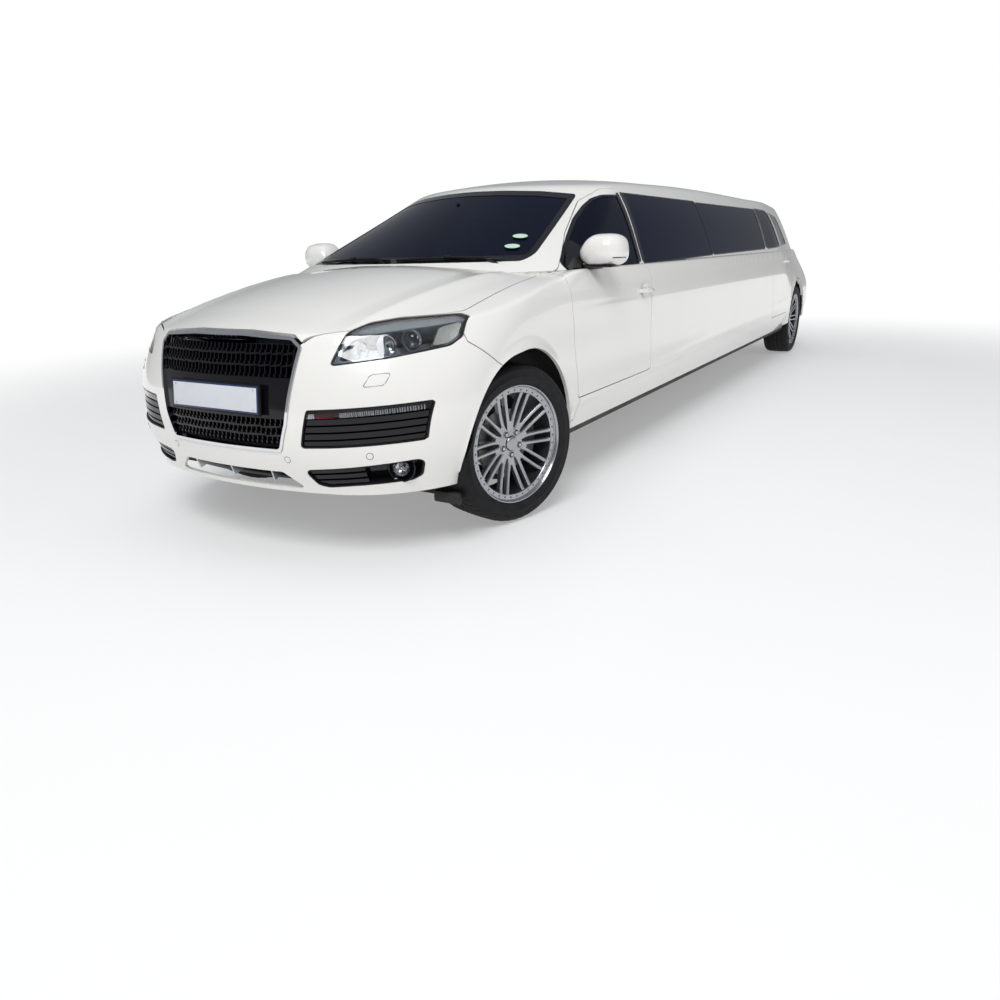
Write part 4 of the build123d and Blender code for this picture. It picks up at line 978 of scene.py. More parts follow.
class Build:
    """Mesh parts gathered into one object; a mark is a part's place in the object's finishes."""

    def __init__(self):
        self.points, self.faces, self.marks = [], [], []

    def add(self, points, faces, mark=0, place=None):
        base = len(self.points)
        if place is not None:
            points = [place @ Vector(p) for p in points]
        self.points.extend([tuple(p) for p in points])
        self.faces.extend([tuple(i + base for i in f) for f in faces])
        self.marks.extend([mark] * len(faces))
        return self

    def box(self, low, high, mark=0, place=None, round_by=0.0, turns=2):
        bm = bmesh.new()
        bmesh.ops.create_cube(bm, size=1)
        size = Vector(high) - Vector(low)
        for v in bm.verts:
            v.co = Vector([low[k] + (v.co[k] + 0.5) * size[k] for k in range(3)])
        if round_by:
            bmesh.ops.bevel(bm, geom=bm.edges[:] + bm.verts[:], offset=round_by, segments=turns, affect="EDGES",
                            profile=0.5)
        return self.take(bm, mark, place)

    def rod(self, start, end, radius, mark=0, steps=16, end_radius=None):
        bm = bmesh.new()
        start, end = Vector(start), Vector(end)
        axis = end - start
        bmesh.ops.create_cone(bm, cap_ends=True, segments=steps, radius1=radius,
                              radius2=radius if end_radius is None else end_radius, depth=axis.length)
        place = Matrix.Translation((start + end) / 2) @ axis.to_track_quat("Z", "Y").to_matrix().to_4x4()
        bmesh.ops.transform(bm, matrix=place, verts=bm.verts)
        return self.take(bm, mark)

    def ball(self, centre, radius, mark=0, squash=(1, 1, 1), steps=(20, 12)):
        bm = bmesh.new()
        bmesh.ops.create_uvsphere(bm, u_segments=steps[0], v_segments=steps[1], radius=radius)
        for v in bm.verts:
            v.co = Vector([centre[k] + v.co[k] * squash[k] for k in range(3)])
        return self.take(bm, mark)

    def take(self, bm, mark=0, place=None):
        bm.verts.ensure_lookup_table()
        bm.verts.index_update()
        self.add([v.co[:] for v in bm.verts], [[v.index for v in f.verts] for f in bm.faces], mark, place)
        bm.free()
        return self

    def mirrored(self):
        """The same parts on both sides of the car."""
        n = len(self.points)
        self.points += [(x, -y, z) for x, y, z in self.points]
        self.faces += [tuple(i + n for i in reversed(f)) for f in self.faces]
        self.marks += list(self.marks)
        return self

    def flipped(self):
        """The mirror image alone."""
        self.points = [(x, -y, z) for x, y, z in self.points]
        self.faces = [tuple(reversed(f)) for f in self.faces]
        return self

    def mesh(self, name, materials, sharp=35):
        mesh = bpy.data.meshes.new(name)
        mesh.from_pydata(self.points, [], self.faces)
        for material in materials:
            mesh.materials.append(FINISH[material])
        mesh.polygons.foreach_set("material_index", self.marks)
        mesh.polygons.foreach_set("use_smooth", [True] * len(mesh.polygons))
        bm = bmesh.new()
        bm.from_mesh(mesh)
        bmesh.ops.remove_doubles(bm, verts=bm.verts, dist=1e-6)
        bmesh.ops.recalc_face_normals(bm, faces=bm.faces)
        limit = radians(sharp)
        for e in bm.edges:
            e.smooth = len(e.link_faces) == 2 and e.calc_face_angle(0) < limit
        bm.to_mesh(mesh)
        bm.free()
        return mesh

    def piece(self, name, body, materials, slot=None, replaces=(), sharp=35):
        obj = bpy.data.objects.new(name, self.mesh(name, materials, sharp))
        bpy.context.scene.collection.objects.link(obj)
        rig.ride(obj, body)
        if slot:
            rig.slot(obj, slot)
        if replaces:
            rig.replaces(obj, *replaces)
        return obj


TYRE_RADIUS, KINGPIN_Y, KINGPIN_INSET, REST_STEER = 0.3775, 0.7955, 0.030, -16


def wheel_place(axle_x, pin_y, inset, side, steer):
    """Matrix from a wheel's own frame, Z out along the axle, to the car."""
    ahead = Vector((cos(radians(steer)), sin(radians(steer)), 0))
    out = Vector((-side * ahead.y, side * ahead.x, 0))
    up = out.cross(ahead)
    centre = Vector((axle_x, side * pin_y, TYRE_RADIUS)) + out * inset
    place = Matrix((ahead, up, out)).transposed().to_4x4()
    place.translation = centre
    return place


WHEELS = {}
for side_name, side in SIDES:
    WHEELS["front", side_name] = wheel_place(FRONT_AXLE, KINGPIN_Y, KINGPIN_INSET, side, REST_STEER)
    WHEELS["rear", side_name] = wheel_place(REAR_AXLE, 0.838, 0, side, 0)

# Rims: ten forked spokes. Columns: distance out, distance aside, width and height of the face
SPOKES, BOLTS, SPOKE_DEPTH = 10, 5, 0.026
FORK = ((0.058, 0.0090, 0.0215, 0.0780), (0.085, 0.0105, 0.0190, 0.0785), (0.110, 0.0150, 0.0175, 0.0800),
        (0.140, 0.0235, 0.0165, 0.0840), (0.175, 0.0335, 0.0160, 0.0900), (0.210, 0.0440, 0.0165, 0.0975),
        (0.247, 0.0560, 0.0195, 0.1075))
SCREW_RING, BOLT_RING = 0.2555, 0.056


def rim_mesh(screws):
    """Cross-spoke rim: barrel with a lip, ten forked spokes that meet in pairs, screws and cap."""
    build = Build()
    barrel = [(0.272, -0.125), (0.282, -0.125), (0.282, -0.118), (0.266, -0.111), (0.266, -0.092),
              (0.248, -0.072), (0.248, 0.062), (0.266, 0.084), (0.266, 0.111), (0.281, 0.117), (0.2815, 0.124),
              (0.279, 0.1265), (0.2750, 0.1265), (0.2725, 0.1235), (0.2690, 0.1130), (0.2660, 0.1105),
              (0.2450, 0.1090), (0.2430, 0.1065), (0.2430, 0.098), (0.2425, 0.064), (0.240, -0.076),
              (0.257, -0.104), (0.272, -0.125)]
    build.add(*lathe(barrel, 120))
    # Dark skin just inside the barrel wall, mark 4: painted shade in the wheel's hollow
    build.add(*lathe([(0.2422, 0.104), (0.2417, 0.064), (0.2392, -0.076), (0.2562, -0.104)], 90), mark=4)
    hub = [(0, 0.031), (0.078, 0.031), (0.078, 0.068), (0.075, 0.075), (0.060, 0.078), (0.036, 0.079),
           (0, 0.079)]
    build.add(*lathe(hub, 60))
    for i in range(SPOKES):
        turn = Matrix.Rotation(2 * pi * (i + 0.5) / SPOKES, 4, "Z")
        for hand in (-1, 1):
            path = [(row[0], hand * row[1]) for row in FORK]
            widths, heights = [row[2] for row in FORK], [row[3] for row in FORK]
            build.add(*sweep_bar(path, widths, SPOKE_DEPTH, heights), place=turn)
        build.add(*sweep_bar([(0.055, 0), (0.085, 0), (0.106, 0)], (0.034, 0.030, 0.026), SPOKE_DEPTH,
                             (0.0775, 0.0780, 0.0790)), place=turn)
    for i in range(screws):
        a = 2 * pi * i / screws
        c = Vector((SCREW_RING * cos(a), SCREW_RING * sin(a), 0.1085))
        build.rod(c, c + Vector((0, 0, 0.0030)), 0.0042, 3, 10)
        build.rod(c, c + Vector((0, 0, 0.0046)), 0.0028, 2, 8, 0.0022)
    for i in range(BOLTS):
        a = 2 * pi * (i + 0.25) / BOLTS
        c = Vector((BOLT_RING * cos(a), BOLT_RING * sin(a), 0.0))
        # The dark disc in the rubber finish under each bolt head is painted shade in the bolt recess
        build.rod(c + Vector((0, 0, 0.070)), c + Vector((0, 0, 0.0798)), 0.0135, 3, 20)
        build.add(*lathe([(0.0165, 0.0770), (0.0160, 0.0808), (0.0140, 0.0812), (0.0132, 0.0796)], 20),
                  place=Matrix.Translation(c))
        build.rod(c + Vector((0, 0, 0.070)), c + Vector((0, 0, 0.0835)), 0.0092, 2, 6, 0.0086)
    cap = [(0.0345, 0.076), (0.0345, 0.0835), (0.0330, 0.0855), (0.0280, 0.0872), (0.016, 0.0890),
           (0.0, 0.0895)]
    build.add(*lathe(cap, 40))
    build.add(*lathe([(0.0375, 0.0785), (0.0375, 0.0800), (0.0345, 0.0800), (0.0345, 0.0785)], 40), mark=3)
    valve = Vector((0.238 * cos(0.15), 0.238 * sin(0.15), 0.078))
    build.rod(valve, valve + Vector((0, 0, 0.026)), 0.0038, 3, 8)
    return build.mesh("rim", ("alloy", "chrome", "satin", "rubber", "well"), 28)


def tyre_mesh(sizes):
    """Tyre with rounded shoulders, side ribs and a block tread."""
    half = [(0.2675, 0.110), (0.279, 0.1175), (0.2845, 0.126), (0.290, 0.1315), (0.300, 0.1345),
            (0.312, 0.1362), (0.3135, 0.1374), (0.320, 0.1374), (0.3215, 0.1364), (0.336, 0.1362),
            (0.348, 0.1340), (0.3495, 0.1346), (0.3525, 0.1338), (0.354, 0.1322), (0.362, 0.1275),
            (0.3685, 0.119), (0.3712, 0.112), (0.3745, 0.098)]
    floor = TYRE_RADIUS - sizes.tread_depth
    for y in (0.066, 0.024):
        top = TYRE_RADIUS - 0.0012 * (y / 0.06) ** 2
        half += [(top, y + 0.0065), (floor, y + 0.0045), (floor, y - 0.0045), (top, y - 0.0065)]
    profile = half + [(r, -h) for r, h in reversed(half)] + [(0.262, -0.100), (0.262, 0.100), (0.2675, 0.110)]
    steps = sizes.tread_blocks * 4
    points, faces = lathe(profile, steps)
    n = len(profile)
    points = points.reshape(steps, n, 3)
    for i in range(steps):
        angle = 2 * pi * i / steps
        for k, (radius, place) in enumerate(profile):
            shoulder = 0.070 < abs(place) < 0.122 and radius > 0.362
            middle = abs(place) < 0.066 and radius > 0.3755
            cut = 0.0045 if shoulder and i % 4 == 0 else 0.0030 if middle and i % 4 == 2 else 0
            if cut:
                points[i, k, :2] = ((radius - cut) * cos(angle), (radius - cut) * sin(angle))
    return Build().add(points.reshape(-1, 3), faces).mesh("tyre", ("tyre",), 40)


def disc_mesh():
    """Ventilated brake disc with its vanes and bell."""
    build = Build()
    build.add(*lathe([(0.060, 0.0295), (0.088, 0.0295), (0.0885, 0.0285), (0.0885, 0.024), (0.092, 0.0235),
                      (0.158, 0.0235), (0.159, 0.0225), (0.159, 0.0165), (0.142, 0.016), (0.142, 0.010),
                      (0.159, 0.0095), (0.159, 0.003), (0.158, 0.002), (0.082, 0.002), (0.080, 0.003),
                      (0.080, 0.018), (0.060, 0.018), (0.060, 0.0295)], 72))
    vanes = 36
    for i in range(vanes):
        turn = Matrix.Rotation(2 * pi * i / vanes, 4, "Z")
        build.box((0.140, -0.0015, 0.0095), (0.1585, 0.0015, 0.0165), place=turn)
    return build.mesh("disc", ("iron",), 30)


class LIMO_OT_wheels(bpy.types.Operator):
    """Build the four wheels: tyres, cross-spoke rims and brake discs"""
    bl_idname = "limo.wheels"
    bl_label = "Wheels"

    def execute(self, context):
        sizes = context.scene.limousine_sizes
        meshes = {"tyre": (tyre_mesh(sizes), "tyre_rubber"), "rim": (rim_mesh(sizes.screws), "wheel_alloy"),
                  "brake_disc": (disc_mesh(), "disc_iron")}
        for (place_name, side_name), place in WHEELS.items():
            for kind, (mesh, slot_name) in meshes.items():
                obj = bpy.data.objects.new(f"{kind}_detail_{place_name}_{side_name}", mesh)
                context.scene.collection.objects.link(obj)
                obj.matrix_world = place
                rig.ride(obj, f"wheel_{place_name}_{side_name}")
                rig.slot(obj, slot_name)
                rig.replaces(obj, f"{kind}_{place_name}_{side_name}")
        return {"FINISHED"}


# Front end: grille, lamps, vents


NOSE = LOWER.points[:, 0] > front(-0.20)
NOSE_POINTS, NOSE_NORMALS = LOWER.points[NOSE], LOWER.normals[NOSE]


def nose_at(y, z):
    """Point and normal of the front end at a place in front view, on either side."""
    gap = (NOSE_POINTS[:, 1] - abs(y)) ** 2 + (NOSE_POINTS[:, 2] - z) ** 2
    near = np.argsort(gap)[:6]
    weight = 1 / (gap[near] + 1e-7)
    point = (NOSE_POINTS[near] * weight[:, None]).sum(axis=0) / weight.sum()
    normal = (NOSE_NORMALS[near] * weight[:, None]).sum(axis=0)
    normal /= np.linalg.norm(normal)
    point = np.array((point[0], abs(y), z))
    if y < 0:
        point, normal = point * (1, -1, 1), normal * (1, -1, 1)
    return Vector(point), Vector(normal)


def nose_face(outline, gap=0.0, corner=0.015):
    """Patch of the front end inside a front view outline."""
    return LOWER.clip(AHEAD).clip(within("front", outline, gap, corner))


def seat_on(point, normal, up=(0, 0, 1)):
    """Matrix with Z out along a normal, Y close to up."""
    out = Vector(normal).normalized()
    across = Vector(up).cross(out).normalized()
    place = Matrix((across, out.cross(across), out)).transposed().to_4x4()
    place.translation = point
    return place


def line_on(build, places, radius, mark):
    """Thin bead round a closed outline in front view."""
    points = [nose_at(y, z)[0] for y, z in places]
    for a, b in zip(points, points[1:] + points[:1]):
        build.rod(a, b, radius, mark, 6)


def rounded(outline, corner, turns=5):
    """Outline with its corners turned round."""
    out = []
    for before, at, after in zip(outline[-1:] + outline[:-1], outline, outline[1:] + outline[:1]):
        a, b = Vector(before) - Vector(at), Vector(after) - Vector(at)
        reach = min(corner, a.length * 0.45, b.length * 0.45)
        p, q = Vector(at) + a.normalized() * reach, Vector(at) + b.normalized() * reach
        for k in range(turns + 1):
            t = k / turns
            out.append(tuple(p * (1 - t) ** 2 + Vector(at) * 2 * t * (1 - t) + q * t ** 2))
    return out


# Rows of grille ribs, each from its foot to its top
UPPER_ROWS = ((0.7905, 0.829), (0.839, 0.875), (0.885, 0.918))
LOWER_ROWS = ((0.518, 0.546), (0.556, 0.582), (0.592, 0.618))
RIB_PITCH = 0.0255


class LIMO_OT_grille(bpy.types.Operator):
    """Build the grille: bright surround, level bars, rows of upright ribs and the blank plate"""
    bl_idname = "limo.grille"
    bl_label = "Grille and plate"

    def execute(self, context):
        ring = nose_face(GRILLE, -0.001, 0.022).clip(beyond(within("front", GRILLE, -0.013, 0.018)))
        obj = panel("grille_surround", two_sided(ring), "body", "chrome", 0.030, -0.005, True, "bright_trim")
        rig.replaces(obj, "grille_frame")
        inside = nose_face(GRILLE, -0.012, 0.018)
        back = panel("grille_backing", two_sided(inside), "body", "gloss", 0.004, 0.046, True, "black_plastic")
        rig.replaces(back, "grille_bars")
        bars = merged(inside.clip(both(above(rows[i][1]), below(rows[i + 1][0])))
                      for rows in (UPPER_ROWS, LOWER_ROWS) for i in range(2))
        panel("grille_level_bars", two_sided(bars), "body", "gloss", 0.032, 0.009, True, "black_plastic")
        band = inside.clip(both(above(0.622), below(0.786)))
        panel("grille_plate_band", two_sided(band), "body", "gloss", 0.030, 0.005, True, "black_plastic")
        build = Build()
        for rows, wide in ((UPPER_ROWS, 0.0050), (LOWER_ROWS, 0.0055)):
            for low, high in rows:
                edge = 0.330 + (high - 0.5) * 0.232 - 0.02
                count = int(edge / RIB_PITCH)
                for i in range(-count, count + 1):
                    y = i * RIB_PITCH
                    p, n = nose_at(y, (low + high) / 2)
                    place = seat_on(p, n)
                    h = (high - low) / 2 + 0.002
                    build.box((-wide / 2, -h, -0.044), (wide / 2, h, -0.016), 0, place)
                    build.box((-wide / 2 - 0.001, -h, -0.020), (wide / 2 + 0.001, -h + 0.012, -0.010), 0, place)
        build.piece("grille_ribs", "body", ("gloss",), "black_plastic")
        build = Build()
        p, n = nose_at(0, 0.697)
        place = seat_on(p + n * 0.004, n)
        build.box((-0.268, -0.064, -0.010), (0.268, 0.064, 0.003), 0, place, 0.004)
        build.box((-0.260, -0.0565, 0.002), (0.260, 0.0565, 0.0048), 1, place, 0.001)
        build.box((-0.252, -0.0490, 0.004), (0.252, 0.0490, 0.0056), 2, place, 0.0005)
        for y in (-0.235, 0.235):
            for z in (-0.04, 0.04):
                build.rod(place @ Vector((y, z, 0.005)), place @ Vector((y, z, 0.0068)), 0.0038, 3, 12)
        build.piece("blank_plate", "body", ("dark", "blue", "plate", "satin"))
        return {"FINISHED"}


# Front view outlines inside the headlamp: the window of its mask, and its signal
LAMP_WINDOW = [(0.566, 0.850), (0.598, 0.930), (0.690, 0.958), (0.868, 0.980), (0.888, 0.965), (0.889, 0.915),
               (0.862, 0.890), (0.742, 0.868)]
SIGNAL = [(0.838, 0.892), (0.832, 0.962), (0.872, 0.984), (0.884, 0.970), (0.890, 0.922), (0.874, 0.897)]


class LIMO_OT_headlamps(bpy.types.Operator):
    """Build the headlamps: clear lens over a shroud with a reflector cluster, a projector and a signal"""
    bl_idname = "limo.headlamps"
    bl_label = "Headlamps"

    def execute(self, context):
        lens = nose_face(HEADLAMP, -0.003, 0.012)
        obj = panel("headlamp_glass", two_sided(lens), "body", "lens", 0.003, 0.0005, True, "lamp_glass")
        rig.replaces(obj, "headlamp_lenses")
        rim = nose_face(HEADLAMP, -0.0005, 0.012).clip(beyond(within("front", HEADLAMP, -0.0065, 0.010)))
        panel("headlamp_seal", two_sided(rim), "body", "rubber", 0.060, 0.001, True, "lamp_housing")
        back = nose_face(HEADLAMP, -0.004, 0.012)
        obj = panel("headlamp_back", two_sided(back), "body", "shroud", 0.004, 0.085, True, "lamp_housing")
        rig.replaces(obj, "headlamp_housings")
        mask = back.clip(beyond(within("front", LAMP_WINDOW, 0, 0.012)))
        panel("headlamp_mask", two_sided(mask), "body", "silver", 0.070, 0.010, True, "lamp_housing")
        signal = nose_face(SIGNAL, -0.002, 0.008)
        panel("headlamp_signal", two_sided(signal), "body", "frost", 0.030, 0.012, True, "lamp_glass")
        build = Build()
        forward = Vector((1, 0.28, 0.05)).normalized()

        def bowl(y, z, radius, deep, mark, sides, scalloped=False):
            p, n = nose_at(y, z)
            place = seat_on(p - n * 0.020, forward)
            section = [(radius * 0.20, -deep), (radius * 0.55, -deep * 0.80), (radius * 0.85, -deep * 0.40),
                       (radius * 0.98, 0), (radius * 1.05, 0.001), (radius * 1.05, -0.004),
                       (radius * 0.3, -deep - 0.004)]
            points, faces = lathe(section, sides)
            if scalloped:
                wave = 1 + 0.045 * np.where(np.arange(len(points)) // len(section) % 2, 1, -1)
                points = points * np.column_stack((wave, wave, np.ones(len(points))))
            build.add(points, faces, mark, place)
            return place

        place = bowl(0.632, 0.892, 0.036, 0.034, 0, 24, True)
        build.ball(place @ Vector((0, 0, -0.022)), 0.008, 2)
        for k in range(9):
            a = 2 * pi * k / 9
            build.ball(place @ Vector((0.026 * cos(a), 0.026 * sin(a), -0.012)), 0.0085, 0, steps=(8, 6))
        place = bowl(0.712, 0.908, 0.040, 0.036, 0, 28)
        build.ball(place @ Vector((0, 0, -0.020)), 0.010, 2)
        place = bowl(0.778, 0.924, 0.041, 0.030, 1, 36)
        build.add(*lathe([(0.0, 0.016), (0.012, 0.0145), (0.022, 0.010), (0.030, 0.002), (0.033, -0.008),
                          (0.033, -0.020)], 36), 3, place)
        build.add(*lathe([(0.0335, -0.020), (0.0335, 0.000), (0.0365, 0.003), (0.0395, 0.000),
                          (0.0395, -0.020)], 36), 0, place)
        build.mirrored().piece("headlamp_bowls", "body", ("bowl", "shroud", "lens", "gloss_lens"),
                               "lamp_housing")
        return {"FINISHED"}


def share_of(top, bottom):
    """Share of the height between two sloping edges in front view, and that height."""
    def edge(ends, y):
        (y1, z1), (y2, z2) = ends
        return z1 + (y - y1) * (z2 - z1) / (y2 - y1)

    def read(p):
        high, low = edge(top, p[:, 1]), edge(bottom, p[:, 1])
        return (p[:, 2] - low) / (high - low), high - low
    return read


def strip_field(read, low, high):
    """Band between two shares of a height."""
    def field(p):
        share, height = read(p)
        return np.maximum(low - share, share - high) * height
    return field


VENT_SHARE = share_of(((0.458, 0.664), (0.887, 0.689)), ((0.420, 0.505), (0.866, 0.529)))
FOG_SHARE = share_of(((0.402, 0.409), (0.852, 0.454)), ((0.496, 0.331), (0.795, 0.356)))
FOG_LAMP = (0.772, 0.409)


class LIMO_OT_bumper_openings(bpy.types.Operator):
    """Build the side vents with their light strips, the fog lamps and the centre intake"""
    bl_idname = "limo.bumper_openings"
    bl_label = "Bumper openings"

    def execute(self, context):
        vent = nose_face(VENT, -0.001, 0.012)
        fog = nose_face(FOG_OPENING, -0.001, 0.02)
        wall = vent.clip(beyond(within("front", VENT, -0.006, 0.010))).joined(
            fog.clip(beyond(within("front", FOG_OPENING, -0.006, 0.018))))
        panel("vent_walls", two_sided(wall), "body", "dark", 0.050, 0.002, True, "black_plastic")
        back = panel("vent_backs", two_sided(vent.joined(fog)), "body", "gloss", 0.004, 0.050, True,
                     "black_plastic")
        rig.replaces(back, "bumper_vents")
        slats = merged(vent.clip(strip_field(VENT_SHARE, middle - 0.070, middle + 0.070))
                       for middle in (0.10, 0.29, 0.48, 0.67))
        for middle in (0.22, 0.52, 0.82):
            strip = fog.clip(strip_field(FOG_SHARE, middle - 0.10, middle + 0.10))
            slats = slats.joined(strip.clip(lambda p: p[:, 1] - 0.66))
        panel("vent_slats", two_sided(slats), "body", "gloss", 0.016, 0.010, True, "black_plastic")
        strip = vent.clip(strip_field(VENT_SHARE, 0.80, 0.985))
        panel("vent_lights", two_sided(strip), "body", "lens", 0.003, 0.006, True)
        build = Build()
        prisms = 58
        for i in range(prisms):
            y = 0.440 + i * 0.0074
            foot = 0.505 + (y - 0.416) * 0.056
            height = 0.651 + (y - 0.433) * 0.065 - foot
            p, n = nose_at(y, foot + 0.893 * height)
            mark = 1 if 0.11 < i / prisms < 0.36 else 0
            place = seat_on(p - n * 0.017, n)
            build.box((-0.0031, -0.0105, -0.006), (0.0031, 0.0105, 0.005), mark, place, 0.0012, 1)
        build.mirrored().piece("vent_light_prisms", "body", ("bowl", "ruby"), "lamp_housing")
        build = Build()
        p, n = nose_at(*FOG_LAMP)
        place = seat_on(p - n * 0.012, Vector((1, 0.30, 0)))
        build.add(*lathe([(0.062, -0.010), (0.058, -0.006), (0.050, -0.012), (0.044, -0.020), (0.0405, -0.006),
                          (0.0385, -0.003), (0.036, -0.006), (0.030, -0.028), (0.014, -0.036),
                          (0.0, -0.036)], 40), 0, place)
        build.add(*lathe([(0.0355, -0.005), (0.030, -0.0005), (0.018, 0.002), (0.0, 0.003)], 40), 1, place)
        build.add(*lathe([(0.0345, -0.008), (0.028, -0.022), (0.010, -0.032), (0.0, -0.033)], 32), 2, place)
        build.ball(place @ Vector((0, 0, -0.020)), 0.009, 2)
        build.mirrored().piece("fog_lamps", "body", ("gloss", "lens", "bowl"), "lamp_housing")
        back = panel("intake_back", two_sided(nose_face(INTAKE, -0.001, 0.008)), "body", "gloss", 0.004, 0.060,
                     True, "black_plastic")
        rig.replaces(back, "lower_intake")
        build = Build()
        for y in (-0.235, 0.005, 0.235):
            p, n = nose_at(y, 0.371)
            place = seat_on(p, n)
            build.box((-0.0035, -0.030, -0.060), (0.0035, 0.030, -0.004), 0, place, 0.001, 1)
        build.piece("intake_struts", "body", ("satin",))
        build = Build().box((front(-0.470), 0.770, 0.208), (front(-0.500), 0.905, 0.262), round_by=0.010)
        build.mirrored().piece("air_flaps", "body", ("rubber",), "black_plastic")
        steps, radius, outer, inner = 25, LEAD_RADIUS - 0.001, 0.940, 0.620
        points, faces = [], []
        for k in range(steps):
            a = radians(-22 + 130 * k / (steps - 1))
            x, z = FRONT_AXLE + ARCH_LEAD + radius * cos(a), ARCH_Z + radius * sin(a)
            share = min(1, 0.420 / hypot(x - FRONT_AXLE, z - ARCH_Z))
            near_x, near_z = FRONT_AXLE + (x - FRONT_AXLE) * share, ARCH_Z + (z - ARCH_Z) * share
            points += [(x, outer, z), (x, inner, z), (near_x, inner, near_z)]
        for i in range(0, 3 * (steps - 1), 3):
            faces += [(i, i + 1, i + 4, i + 3), (i + 1, i + 2, i + 5, i + 4)]
        Build().add(points, faces).mirrored().piece("arch_linings", "body", ("dark",), "black_plastic")
        build = Build()
        for y, z in ((0.345, 0.452), (0.690, 0.478)):
            p, n = nose_at(y, z)
            place = seat_on(p, n)
            for mark, section in enumerate((
                    [(0.0125, -0.002), (0.0125, 0.0008), (0.0118, 0.0016), (0.0, 0.0020)],
                    [(0.0145, -0.002), (0.0145, 0.0006), (0.0128, 0.0006), (0.0128, -0.002)])):
                build.add(*lathe(section, 28), mark, place)
        cover = rounded([(0.672, 0.752), (0.690, 0.798), (0.752, 0.802), (0.741, 0.757)], 0.012)
        line_on(build, cover, 0.0011, 1)
        build.mirrored().piece("bumper_sensors", "body", ("paint", "rubber"))
        return {"FINISHED"}


# Side trim, mirrors, handles, wipers and tail lamps


def side_at(skin, x, z):
    """Point and normal of the left side at a place in side view."""
    keep = skin.points[:, 1] > 0.45
    points, normals = skin.points[keep], skin.normals[keep]
    gap = (points[:, 0] - x) ** 2 + (points[:, 2] - z) ** 2
    near = np.argsort(gap)[:6]
    weight = 1 / (gap[near] + 1e-7)
    y = (points[near, 1] * weight).sum() / weight.sum()
    normal = (normals[near] * weight[:, None]).sum(axis=0)
    return Vector((x, y, z)), Vector(normal / np.linalg.norm(normal))


def glass_band(view, outline, out, inner, region, corner=0.02):
    """Band round a window of the cabin, from one offset of its outline to another."""
    ring = UPPER.clip(both(within(view, outline, out, corner), region))
    return ring.clip(beyond(within(view, outline, inner, corner)))


class LIMO_OT_window_trim(bpy.types.Operator):
    """Build the window seals, the dark pillar covers and the belt strips"""
    bl_idname = "limo.window_trim"
    bl_label = "Window trim"

    def execute(self, context):
        seal = merged(glass_band("side", outline, 0.0075, -0.001, CABIN_SIDE) for outline in FIXED_PANES)
        pillar = [(front(1.672), 1.150), (front(1.712), 1.568), (front(1.772), 1.566), (front(1.712), 1.152)]
        rear_pillar = [(rear(1.368), 1.190), (rear(1.312), 1.566), (rear(1.350), 1.566), (rear(1.412), 1.190)]
        for outline, corner in ((pillar, 0.004), (rear_pillar, 0.002)):
            seal = seal.joined(UPPER.clip(both(within("side", outline, 0, corner), CABIN_SIDE)))
        panel("side_window_seals", two_sided(seal), "body", "gloss", 0.012, -0.0012, slot="black_plastic")
        rim = glass_band("front", WINDSCREEN, 0.006, -0.022, SCREEN_END, 0.03)
        panel("windscreen_border", two_sided(rim), "body", "gloss", 0.004, -0.0006, slot="black_plastic")
        rim = glass_band("front", TAIL_GLASS, 0.004, -0.025, TAIL_END, 0.03)
        panel("tail_window_border", two_sided(rim), "tailgate", "gloss", 0.004, -0.0006, slot="black_plastic")
        for place, outline, cover in (
                ("front", FRONT_DOOR_GLASS, [(front(1.610), 1.150), (front(1.636), 1.556),
                                             (front(1.690), 1.566), (front(1.660), 1.150)]),
                ("rear", REAR_DOOR_GLASS, [(rear(1.354), 1.190), (rear(1.304), 1.562), (rear(1.262), 1.556),
                                           (rear(1.304), 1.190)])):
            band = glass_band("side", outline, 0.010, -0.001, CABIN_SIDE)
            band = band.joined(UPPER.clip(both(within("side", cover, 0, 0.004), CABIN_SIDE)))
            band = band.clip(DOOR_FIELDS[place])
            for side_name, skin in (("left", band), ("right", band.mirrored())):
                panel(f"door_seal_{place}_{side_name}", skin, f"door_{place}_{side_name}", "gloss", 0.010,
                      -0.0012, slot="black_plastic")
        return {"FINISHED"}


# Mirror shells. Columns: distance behind the front axle, y, z, half width, half height
MIRROR_RINGS = ((0.922, 0.990, 1.232, 0.100, 0.070), (0.918, 0.990, 1.232, 0.1075, 0.0785),
                (0.900, 0.989, 1.232, 0.1120, 0.0815), (0.870, 0.987, 1.232, 0.1150, 0.0830),
                (0.835, 0.984, 1.232, 0.1150, 0.0820), (0.800, 0.980, 1.232, 0.1090, 0.0760),
                (0.775, 0.976, 1.231, 0.0970, 0.0650), (0.757, 0.973, 1.229, 0.0760, 0.0480),
                (0.748, 0.971, 1.228, 0.0440, 0.0260), (0.745, 0.971, 1.228, 0.001, 0.001))
MIRROR_POWER = 0.62
MIRROR_LINE = -0.040


